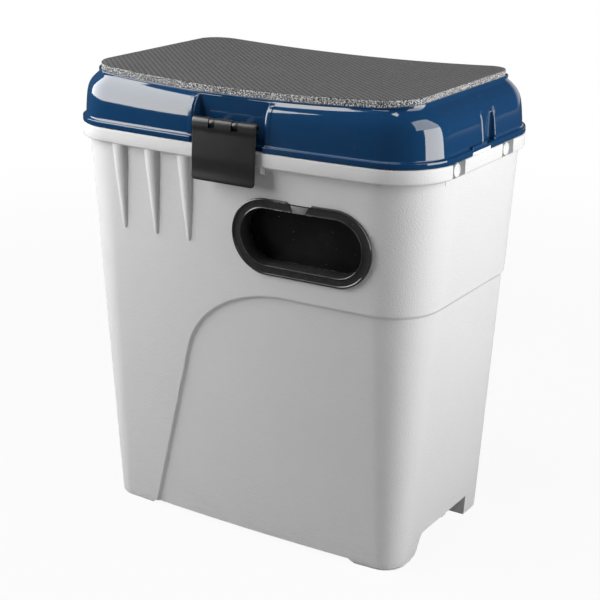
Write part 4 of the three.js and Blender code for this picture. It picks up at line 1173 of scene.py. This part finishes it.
def makeTray():
    s = tray
    edge = s["edge"]
    floorTop = trayBottom + s["floor"]
    rings = [ring(trayPlan(z, edge * (1 - math.sin(a))), z, s["counts"])
             for a, z in ((t, trayBottom + edge * (1 - math.cos(t))) for t in (0, 0.5, 1.05, 1.57))]
    rings.append(ring(trayPlan(trayTop - 0.4, 0), trayTop - 0.4, s["counts"]))
    rings.append(ring(trayPlan(trayTop, 0.3), trayTop, s["counts"]))
    shape = loft("trayShape", rings, s["counts"])
    hollow = loft("trayHollow", [
        ring(trayPlan(z, s["wall"]), z, s["counts"]) for z in (floorTop, trayTop + over)
    ], s["counts"])
    half, thick = halfRim, s["wall"] / 2
    crest = trayTop - s["dividerDrop"]
    long, across = s["longWall"], s["crossWall"]
    keep = [
        block(-half, half, long - thick, long + thick, trayBottom, crest, fineEdge),
        block(across - thick, across + thick, long, half, trayBottom, crest, fineEdge),
    ]
    for number in range(s["dividers"]):
        x = (number - (s["dividers"] - 1) / 2) * s["pitch"]
        for side in (-1, 1):
            near = x + side * (s["dividerThickness"] / 2 + seatGap)
            low, high = sorted((near, near + side * s["railWidth"]))
            keep.append(block(low, high, -half, long, trayBottom, floorTop + s["railHeight"], fineEdge))
    cut(shape, cut(hollow, *keep))
    cut(shape, rod("x", s["gripRadius"], -rim["depth"] / 4, trayTop + s["gripDrop"], -half * 2, half * 2, 64))
    return shape


def makeDividers(material):
    s = tray
    low, high = trayBottom + s["floor"] + seatGap, trayTop - s["dividerDrop"]
    back = s["longWall"] - s["wall"] / 2 - seatGap

    def front(z):
        return -trayPlan(z, s["wall"] + seatGap)["depth"] / 2

    thick = s["dividerThickness"] / 2
    outline = [(front(low), low), (back, low), (back, high), (front(high), high)]
    divider = prism(outline, "x", -thick, thick, softEdge)
    tree, copies = rowTree("trayDividers", material)
    endTree(tree, copies.outputs[0], material)
    return growTree(tree, {
        "Piece": divider, "Count": s["dividers"], "Start": (-s["pitch"] * (s["dividers"] - 1) / 2, 0, 0),
        "Pitch": (s["pitch"], 0, 0),
    })


# Materials
def makeMaterial(name):
    material = bpy.data.materials.new(name)
    material.use_nodes = True
    nodes = material.node_tree.nodes
    nodes.clear()
    output = nodes.new("ShaderNodeOutputMaterial")
    shader = nodes.new("ShaderNodeBsdfPrincipled")
    material.node_tree.links.new(shader.outputs[0], output.inputs[0])
    return material, shader


def shaderGroup(name, inputs, outputs):
    group = bpy.data.node_groups.new(name, "ShaderNodeTree")
    for label, value in inputs.items():
        socket = group.interface.new_socket(label, in_out="INPUT", socket_type="NodeSocketFloat")
        socket.default_value = value
    for label, kind in outputs.items():
        group.interface.new_socket(label, in_out="OUTPUT", socket_type="NodeSocket" + kind)
    return group, group.nodes.new("NodeGroupInput"), group.nodes.new("NodeGroupOutput")


def maths(tree, operation, first, second=0.0, third=None, clamp=False):
    values = {0: first, 1: second}
    if third is not None:
        values[2] = third
    return addNode(tree, "ShaderNodeMath", values, operation=operation, use_clamp=clamp).outputs[0]


def times(tree, first, second, clamp=False):
    return maths(tree, "MULTIPLY", first, second, clamp=clamp)


def plus(tree, first, second, clamp=False):
    return maths(tree, "ADD", first, second, clamp=clamp)


def ramp(tree, value, low, high, start=0.0, end=1.0):
    node = addNode(tree, "ShaderNodeMapRange", {
        "Value": value, "From Min": low, "From Max": high, "To Min": start, "To Max": end,
    }, interpolation_type="SMOOTHSTEP")
    return node.outputs[0]


def noise(tree, vector, scale, detail=2.0, roughness=0.5):
    return addNode(tree, "ShaderNodeTexNoise", {
        "Vector": vector, "Scale": scale, "Detail": detail, "Roughness": roughness,
    }).outputs[0]


def mixColour(tree, share, first, second):
    first, second = (colour if isSocket(colour) else (*colour, 1) for colour in (first, second))
    return addNode(tree, "ShaderNodeMix", {0: share, 6: first, 7: second}, data_type="RGBA").outputs[2]


def makeGrainGroup():
    # the fine leathery grain of a moulded face, with its uneven gloss and tone
    group, inputs, outputs = shaderGroup(
        "mouldedGrain", {"Grain size": 0.001, "Gloss": 0.5, "Gloss spread": 0.1, "Tone spread": 0.05},
        {"Height": "Float", "Roughness": "Float", "Tone": "Float"},
    )
    where = addNode(group, "ShaderNodeTexCoord").outputs["Object"]
    density = maths(group, "DIVIDE", 1.0, inputs.outputs["Grain size"])
    cells = addNode(group, "ShaderNodeTexVoronoi", {"Vector": where, "Scale": density, "Randomness": 1.0},
                    feature="SMOOTH_F1").outputs["Distance"]
    fine = noise(group, where, times(group, density, 1.7), 3.0)
    height = plus(group, times(group, cells, 0.6), times(group, fine, 0.6))
    broad = noise(group, where, 14.0, 3.0, 0.6)
    streak = noise(group, where, 90.0, 2.0)
    blend = plus(group, times(group, broad, 0.6), times(group, streak, 0.4))
    middle = maths(group, "SUBTRACT", blend, 0.5)
    rough = maths(group, "MULTIPLY_ADD", middle, times(group, inputs.outputs["Gloss spread"], 2.0),
                  inputs.outputs["Gloss"])
    speckle = maths(group, "SUBTRACT", fine, 0.5)
    tone = plus(group, times(group, middle, 0.8), times(group, speckle, 0.6))
    tone = maths(group, "MULTIPLY_ADD", tone, inputs.outputs["Tone spread"], 1.0)
    group.links.new(height, outputs.inputs["Height"])
    group.links.new(rough, outputs.inputs["Roughness"])
    group.links.new(tone, outputs.inputs["Tone"])
    return group


def makeWearDustHighlightGroup():
    # sharp edges for wear and painted highlight, fine specks of dust and the scuffs near the ground
    group, inputs, outputs = shaderGroup(
        "wearAndDust", {"Edge wear": 0.3, "Dust": 0.2, "Scuffs": 0.0, "Speck size": 0.004},
        {"Worn": "Float", "Dust": "Float", "Scuff": "Float"},
    )
    where = addNode(group, "ShaderNodeTexCoord").outputs["Object"]
    geometry = addNode(group, "ShaderNodeNewGeometry")
    sharp = ramp(group, geometry.outputs["Pointiness"], 0.53, 0.62)
    patchy = ramp(group, noise(group, where, 160.0, 4.0, 0.65), 0.42, 0.66)
    wornAndLit = times(group, times(group, sharp, patchy), inputs.outputs["Edge wear"], clamp=True)
    density = maths(group, "DIVIDE", 1.0, inputs.outputs["Speck size"])
    specks = addNode(group, "ShaderNodeTexVoronoi", {"Vector": where, "Scale": density, "Randomness": 1.0})
    dot = ramp(group, specks.outputs["Distance"], 0.11, 0.06)
    parts = addNode(group, "ShaderNodeSeparateColor", {0: specks.outputs["Color"]})
    rare = maths(group, "GREATER_THAN", parts.outputs[0], 0.8)
    film = ramp(group, noise(group, where, 9.0, 4.0, 0.6), 0.5, 0.75)
    dust = maths(group, "MULTIPLY_ADD", times(group, dot, rare), 0.9, times(group, film, 0.12))
    dust = times(group, dust, inputs.outputs["Dust"], clamp=True)
    height = addNode(group, "ShaderNodeSeparateXYZ", {0: where}).outputs["Z"]
    low = ramp(group, height, 0.05, 0.0)
    stretched = addNode(group, "ShaderNodeMapping", {"Vector": where, "Scale": (1.0, 1.0, 5.0)}).outputs[0]
    lines = ramp(group, noise(group, stretched, 60.0, 5.0, 0.7), 0.52, 0.62)
    scuff = times(group, times(group, low, lines), inputs.outputs["Scuffs"], clamp=True)
    group.links.new(wornAndLit, outputs.inputs["Worn"])
    group.links.new(dust, outputs.inputs["Dust"])
    group.links.new(scuff, outputs.inputs["Scuff"])
    return group


def plasticLook(name, s):
    # one recipe for the moulded plastics, each with its own values
    material, shader = makeMaterial(name)
    tree = material.node_tree
    grain = addNode(tree, "ShaderNodeGroup", {
        "Grain size": s["grain"], "Gloss": s["gloss"],
        "Gloss spread": s["glossSpread"], "Tone spread": s["toneSpread"],
    }, node_tree=grainGroup)
    wear = addNode(tree, "ShaderNodeGroup", {
        "Edge wear": s["edgeWearAndHighlight"], "Dust": s["dust"], "Scuffs": s["scuffs"], "Speck size": s["speck"],
    }, node_tree=wearDustHighlightGroup)
    toned = addNode(tree, "ShaderNodeVectorMath", {
        0: s["colour"], "Scale": grain.outputs["Tone"],
    }, operation="SCALE")
    # sharp edges take the lighter edge colour: wear, and on the hatch and latch also painted highlight along
    # edges and beads
    colour = mixColour(tree, wear.outputs["Worn"], toned.outputs[0], s["wornAndHighlightColour"])
    colour = mixColour(tree, wear.outputs["Scuff"], colour, s["scuffColour"])
    colour = mixColour(tree, wear.outputs["Dust"], colour, (0.55, 0.55, 0.54))
    tree.links.new(colour, shader.inputs["Base Color"])
    rough = plus(tree, grain.outputs["Roughness"], times(tree, wear.outputs["Worn"], 0.25))
    rough = plus(tree, rough, times(tree, wear.outputs["Dust"], 0.5), clamp=True)
    tree.links.new(rough, shader.inputs["Roughness"])
    where = addNode(tree, "ShaderNodeTexCoord").outputs["Object"]
    swell = noise(tree, where, s["swellScale"], 1.0)
    wavy = addNode(tree, "ShaderNodeBump", {"Height": swell, "Strength": 1.0, "Distance": s["swell"]})
    bump = addNode(tree, "ShaderNodeBump", {
        "Height": grain.outputs["Height"], "Strength": 1.0, "Distance": s["grainDepth"],
        "Normal": wavy.outputs[0],
    })
    tree.links.new(bump.outputs[0], shader.inputs["Normal"])
    shader.inputs["IOR"].default_value = s["ior"]
    shader.inputs["Specular Tint"].default_value = (*s["shine"], 1)
    return material


def makePadLook():
    # foam with an embossed skin in slanting rows, its colour painted shade in the valleys and painted light on
    # the crests, and an open cut edge
    s = padFinish
    material, shader = makeMaterial("padFoam")
    tree = material.node_tree
    where = addNode(tree, "ShaderNodeTexCoord").outputs["Object"]
    wear = addNode(tree, "ShaderNodeGroup", {
        "Edge wear": 0.0, "Dust": 0.25, "Scuffs": 0.0, "Speck size": 0.006,
    }, node_tree=wearDustHighlightGroup)
    turned = addNode(tree, "ShaderNodeMapping", {
        "Vector": where, "Rotation": (0, 0, -math.radians(s["rowAngle"])),
    }).outputs[0]
    along = addNode(tree, "ShaderNodeSeparateXYZ", {0: turned})
    turn = 2 * math.pi / (s["rowPitch"] * mm)
    rows = maths(tree, "SINE", times(tree, along.outputs["X"], turn))
    cross = maths(tree, "SINE", times(tree, along.outputs["Y"], turn))
    fine = noise(tree, where, 1 / (s["fibre"] * mm), 3.0, 0.7)
    relief = plus(tree, times(tree, rows, 0.26), times(tree, cross, 0.24))
    relief = maths(tree, "MULTIPLY_ADD", fine, 1.9, relief)
    # the top's colour follows the relief: painted shade in the valleys and painted light on the crests
    reliefShade = ramp(tree, relief, 0.5, 1.5)
    topColour = mixColour(tree, reliefShade, s["valley"], s["crest"])
    cells = addNode(tree, "ShaderNodeTexVoronoi", {
        "Vector": where, "Scale": 1 / (s["cell"] * mm), "Randomness": 1.0,
    }, feature="F1").outputs["Distance"]
    grit = noise(tree, where, 1 / (s["cell"] * 1.3 * mm), 4.0, 0.75)
    pores = ramp(tree, plus(tree, times(tree, cells, 0.45), grit), 0.62, 0.88)
    edge = mixColour(tree, pores, s["cutDark"], s["cutLight"])
    up = addNode(tree, "ShaderNodeSeparateXYZ", {0: addNode(tree, "ShaderNodeNewGeometry").outputs["Normal"]})
    isTop = ramp(tree, up.outputs["Z"], 0.45, 0.8)
    colour = mixColour(tree, isTop, edge, topColour)
    colour = mixColour(tree, wear.outputs["Dust"], colour, (0.5, 0.5, 0.49))
    tree.links.new(colour, shader.inputs["Base Color"])
    tree.links.new(ramp(tree, fine, 0.2, 0.8, 0.8, 1.0), shader.inputs["Roughness"])
    depth = times(tree, pores, ramp(tree, up.outputs["Z"], 0.3, 0.8, 0.7, 0.4))
    height = maths(tree, "MULTIPLY_ADD", fine, 0.8, depth)
    bump = addNode(tree, "ShaderNodeBump", {"Height": height, "Strength": 1.0, "Distance": s["bump"] * mm})
    tree.links.new(bump.outputs[0], shader.inputs["Normal"])
    shader.inputs["Specular IOR Level"].default_value = 0.25
    shader.inputs["Sheen Weight"].default_value = 0.15
    return material


def makeSteelLook(name, dark, light, wornAndLit):
    # drawn wire and screw heads, with fine lines along the axis
    material, shader = makeMaterial(name)
    tree = material.node_tree
    where = addNode(tree, "ShaderNodeTexCoord").outputs["Object"]
    wear = addNode(tree, "ShaderNodeGroup", {
        "Edge wear": 0.6, "Dust": 0.2, "Scuffs": 0.0, "Speck size": 0.002,
    }, node_tree=wearDustHighlightGroup)
    long = addNode(tree, "ShaderNodeMapping", {"Vector": where, "Scale": (0.1, 1.0, 1.0)}).outputs[0]
    lines = noise(tree, long, 2500.0, 3.0)
    colour = mixColour(tree, lines, dark, light)
    colour = mixColour(tree, wear.outputs["Worn"], colour, wornAndLit)
    tree.links.new(colour, shader.inputs["Base Color"])
    tree.links.new(ramp(tree, lines, 0.2, 0.8, 0.22, 0.42), shader.inputs["Roughness"])
    bump = addNode(tree, "ShaderNodeBump", {"Height": lines, "Strength": 0.6, "Distance": 0.00003})
    tree.links.new(bump.outputs[0], shader.inputs["Normal"])
    shader.inputs["Metallic"].default_value = 1
    return material


# what the moulded plastics share, and then each one's own values
plastic = {
    "gloss": 0.5, "glossSpread": 0.12, "edgeWearAndHighlight": 0.35, "dust": 0.1, "speck": 0.005,
    "scuffs": 0.0, "scuffColour": (0.42, 0.42, 0.41), "swell": 0.0001, "ior": 1.48, "shine": (1, 1, 1),
}
tubFinish = plastic | {
    "colour": (0.655, 0.655, 0.655), "wornAndHighlightColour": (0.74, 0.74, 0.74), "scuffs": 0.15,
    "grain": 0.0013, "grainDepth": 0.0003, "toneSpread": 0.06, "swellScale": 14.0,
}
lidFinish = plastic | {
    "colour": (0.005, 0.04, 0.112), "wornAndHighlightColour": (0.02, 0.09, 0.2), "grain": 0.0009, "grainDepth": 0.0000008,
    "gloss": 0.045, "glossSpread": 0.04, "toneSpread": 0.15, "edgeWearAndHighlight": 0.5, "dust": 0.12,
    "swell": 0.00016, "swellScale": 32.0, "ior": 1.61, "shine": (1.0, 0.95, 0.84),
}
# the latch's light edge colour is partly painted highlight on its edges and barrel, partly wear
latchFinish = plastic | {
    "colour": (0.012, 0.012, 0.0122), "wornAndHighlightColour": (0.11, 0.11, 0.11), "grain": 0.0006, "grainDepth": 0.00003,
    "gloss": 0.3, "toneSpread": 0.6, "edgeWearAndHighlight": 0.6, "dust": 0.08, "speck": 0.004,
    "swell": 0.00006, "swellScale": 60.0, "ior": 1.5,
}
# the hatch plastic's strong, light edge colour is mostly painted highlight along its beads and inner edge, with
# some real wear
hatchFinish = plastic | {
    "colour": (0.03, 0.03, 0.0302), "wornAndHighlightColour": (0.26, 0.26, 0.26), "grain": 0.0008, "grainDepth": 0.000002,
    "gloss": 0.12, "glossSpread": 0.1, "toneSpread": 0.9, "edgeWearAndHighlight": 1.6, "dust": 0.3, "speck": 0.0035,
    "swellScale": 45.0, "ior": 1.75,
}
trayFinish = plastic | {
    "colour": (0.5, 0.505, 0.51), "wornAndHighlightColour": (0.65, 0.65, 0.65), "grain": 0.0012, "grainDepth": 0.00006,
    "gloss": 0.48, "toneSpread": 0.08, "dust": 0.15, "swellScale": 16.0,
}
padFinish = {
    "rowAngle": 48, "rowPitch": 4.45, "fibre": 0.85, "cell": 1.0, "bump": 0.9, "relief": 0.2,
    # the rows' valleys are painted shade and their crests painted light
    "valley": (0.012, 0.012, 0.0123), "crest": (0.135, 0.135, 0.136),
    "cutDark": (0.02, 0.02, 0.02), "cutLight": (0.92, 0.92, 0.91),
}
grainGroup, wearDustHighlightGroup = makeGrainGroup(), makeWearDustHighlightGroup()
tubLook, lidLook = plasticLook("tubPlastic", tubFinish), plasticLook("lidPlastic", lidFinish)
latchLook, hatchLook = plasticLook("latchPlastic", latchFinish), plasticLook("hatchPlastic", hatchFinish)
# the tab's light grey, much lighter than the hatch plastic it copies, is a painted reflection of light on its
# slope
tabReflectionLook = plasticLook("greyTab", hatchFinish | {"colour": (0.17, 0.17, 0.17), "gloss": 0.3})
# the door is a darker copy of the hatch plastic: painted shade deep in the hatch's tunnel
doorShadeLook = plasticLook("doorPlastic", hatchFinish | {"colour": (0.008, 0.008, 0.008), "gloss": 0.2, "ior": 1.5})
trayLook, padLook = plasticLook("trayPlastic", trayFinish), makePadLook()
steelLook = makeSteelLook("steel", (0.42, 0.43, 0.44), (0.6, 0.61, 0.62), (0.75, 0.75, 0.74))
blackSteelLook = makeSteelLook("blackenedSteel", (0.006,) * 3, (0.016,) * 3, (0.05,) * 3)
print("materials made")


def addPiece(piece, name, material, slot, body, *nodes):
    # from the working millimetres into the frame's metres
    piece.data.transform(Matrix.Translation((0, shiftY, 0)) @ Matrix.Scale(mm, 4))
    piece.name = piece.data.name = name
    piece.data.materials.clear()
    piece.data.materials.append(material)
    piece.data.shade_smooth()
    piece.data.set_sharp_from_angle(angle=math.radians(35))
    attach(piece, body)
    if nodes:
        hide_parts(*nodes)
    print(name, len(piece.data.polygons))
    return piece


addPiece(makeTub(), "tub_shell", tubLook, "tub_plastic", "tub", "tub")
addPiece(makeLid(), "lid_shell", lidLook, "lid_plastic", "lid", "lid")
pad = addPiece(makePad(), "foam_pad", padLook, "pad_fabric", "lid", "seat_pad")
addPiece(makeLatch(), "latch_lever", latchLook, "latch_plastic", "latch", "latch")
addPiece(join(latchArm(-1), latchArm(1)), "latch_arms", latchLook, "latch_plastic", "lid")

addPiece(makeHatchFrame(hatchLook), "hatch_bezel", hatchLook, "hatch_plastic", "tub", "hatch_frame")
addPiece(makeFingerTab(), "hatch_finger_tab", tabReflectionLook, "hatch_plastic", "tub")
addPiece(makeFlap(), "hatch_door", doorShadeLook, "hatch_plastic", "hatch_flap", "hatch_flap")
addPiece(makeScrews(steelLook), "hatch_screws", steelLook, "steel", "tub",
         "hatch_screw_1", "hatch_screw_2", "hatch_screw_3", "hatch_screw_4")
addPiece(makeStuds(tubLook), "strap_studs", tubLook, "tub_plastic", "tub",
         "strap_stud_left_front", "strap_stud_left_rear", "strap_stud_right_front", "strap_stud_right_rear")
addPiece(makeTray(), "tray_shell", trayLook, "tray_plastic", "tray", "tray")
addPiece(makeDividers(trayLook), "tray_dividers", trayLook, "tray_plastic", "tray",
         "tray_divider_1", "tray_divider_2", "tray_divider_3")
looks = {
    "hatch_ring": hatchLook, "latch_pin": blackSteelLook, "hinge_pin_left": steelLook,
    "hinge_pin_right": steelLook, "hatch_pin": steelLook,
}
for name, look in looks.items():
    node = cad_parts[name]
    for slot in node.material_slots:
        slot.material = look

# Camera, floor and light
view = {
    "place": (681.5, -1084.1, 637.3), "target": (0, 0, 200.4), "roll": 0.44,
    "focal": 1448.75, "pixels": 600, "sensor": 36,
}


def addCamera():
    data = bpy.data.cameras.new("camera")
    camera = newObject("camera", data)
    place = Vector(view["place"])
    aim = (Vector(view["target"]) - place).to_track_quat("-Z", "Y").to_matrix().to_4x4()
    move = Matrix.Translation((place + Vector((0, shiftY / mm, 0))) * mm)
    camera.matrix_world = move @ aim @ Matrix.Rotation(math.radians(view["roll"]), 4, "Z")
    data.sensor_width = view["sensor"]
    data.lens = view["focal"] * view["sensor"] / view["pixels"]
    data.clip_start = 0.05
    scene.camera = camera


addCamera()
floorMesh = bpy.data.meshes.new("floor")
floorMesh.from_pydata([(-6, -6, 0), (6, -6, 0), (6, 6, 0), (-6, 6, 0)], [], [(0, 1, 2, 3)])
floor = newObject("floor", floorMesh)
studio = {
    "shadow": 0.07, "whiteFrom": 0.5, "whiteTo": 1.6, "floorTone": 0.4, "fill": 0.02,
    "mirrorFront": 0.06, "mirrorBehind": 1.0, "mirrorFloor": 0.35, "mirrorFrom": 2.5, "mirrorTo": 6.0,
}
floorLook, shader = makeMaterial("floorPaper")
tree = floorLook.node_tree
shader.inputs["Base Color"].default_value = (studio["floorTone"],) * 3 + (1,)
shader.inputs["Roughness"].default_value = 1
shader.inputs["Specular IOR Level"].default_value = 0
output = next(n for n in tree.nodes if n.type == "OUTPUT_MATERIAL")
path = addNode(tree, "ShaderNodeLightPath")
seen = maths(tree, "MAXIMUM", path.outputs["Is Camera Ray"], path.outputs["Is Transmission Ray"])
where = addNode(tree, "ShaderNodeTexCoord").outputs["Object"]
away = addNode(tree, "ShaderNodeVectorMath", {0: where}, operation="LENGTH").outputs["Value"]
paper = ramp(tree, away, studio["whiteFrom"], studio["whiteTo"], 1 - studio["shadow"], 1.0)
share = maths(tree, "MAXIMUM", times(tree, seen, paper), path.outputs["Is Glossy Ray"])
depth = addNode(tree, "ShaderNodeSeparateXYZ", {0: where}).outputs["Y"]
mirrored = ramp(
    tree, depth, studio["mirrorFrom"], studio["mirrorTo"], studio["mirrorFront"], studio["mirrorFloor"],
)
strength = maths(tree, "MAXIMUM", mirrored, seen)
white = addNode(tree, "ShaderNodeEmission", {"Color": (1, 1, 1, 1), "Strength": strength})
mix = addNode(tree, "ShaderNodeMixShader", {0: share, 1: shader.outputs[0], 2: white.outputs[0]})
tree.links.new(mix.outputs[0], output.inputs[0])
floorMesh.materials.append(floorLook)

# white behind the box for what the camera, glossy and clear things see, and dim on the camera's side
world = bpy.data.worlds.new("studio")
world.use_nodes = True
scene.world = world
tree = world.node_tree
tree.nodes.clear()
path = addNode(tree, "ShaderNodeLightPath")
where = addNode(tree, "ShaderNodeTexCoord").outputs["Generated"]
direction = addNode(tree, "ShaderNodeSeparateXYZ", {0: where})
behind = ramp(tree, direction.outputs["Y"], 0.92, 1.0, studio["mirrorFront"], studio["mirrorBehind"])
seen = maths(tree, "MAXIMUM", path.outputs["Is Camera Ray"], path.outputs["Is Transmission Ray"])
strength = maths(tree, "MAXIMUM", seen, behind)
seen = maths(tree, "MAXIMUM", seen, path.outputs["Is Glossy Ray"])
dim = addNode(tree, "ShaderNodeBackground", {"Color": (1, 1, 1, 1), "Strength": studio["fill"]})
bright = addNode(tree, "ShaderNodeBackground", {"Color": (1, 1, 1, 1), "Strength": strength})
mix = addNode(tree, "ShaderNodeMixShader", {0: seen, 1: dim.outputs[0], 2: bright.outputs[0]})
output = addNode(tree, "ShaderNodeOutputWorld", {"Surface": mix.outputs[0]})

# upright softboxes: bearings from straight in front towards the right, heights of their edges, distance
lamps = {
    "leftBox": {"bearing": (-86, -36), "heights": (0.365, 1.5), "away": 1.0, "brightness": 7.7},
    "rightLow": {"bearing": (77, 114), "heights": (0.22, 0.62), "away": 0.9, "brightness": 7.3},
    "rightHigh": {"bearing": (64, 114), "heights": (0.62, 1.5), "away": 0.9, "brightness": 3.8},
    "backBox": {
        "bearing": (150, 210), "heights": (0.25, 1.1), "away": 1.6, "brightness": 1.3, "mirrored": False,
    },
}
topBox = {"place": (-0.25, -0.35, 1.75), "size": (1.2, 0.22), "brightness": 7}


def addLamp(name, place, size, brightness, turned=Matrix(), mirrored=True):
    data = bpy.data.lights.new(name, "AREA")
    data.shape = "RECTANGLE"
    data.size, data.size_y = size
    data.energy = brightness * math.pi * size[0] * size[1]
    light = newObject(name, data)
    light.matrix_world = Matrix.Translation(place) @ turned
    light.visible_glossy = mirrored


for name, lamp in lamps.items():
    first, last = (math.radians(bearing) for bearing in lamp["bearing"])
    low, high = lamp["heights"]
    middle, away = (first + last) / 2, lamp["away"]
    place = Vector((away * math.sin(middle), -away * math.cos(middle), (low + high) / 2))
    turned = Vector((-place.x, -place.y, 0)).to_track_quat("-Z", "Y").to_matrix().to_4x4()
    size = (2 * away * math.tan((last - first) / 2), high - low)
    addLamp(name, place, size, lamp["brightness"], turned, lamp.get("mirrored", True))
addLamp("topBox", topBox["place"], topBox["size"], topBox["brightness"])

scene.view_settings.view_transform = "Standard"
print("stage set")
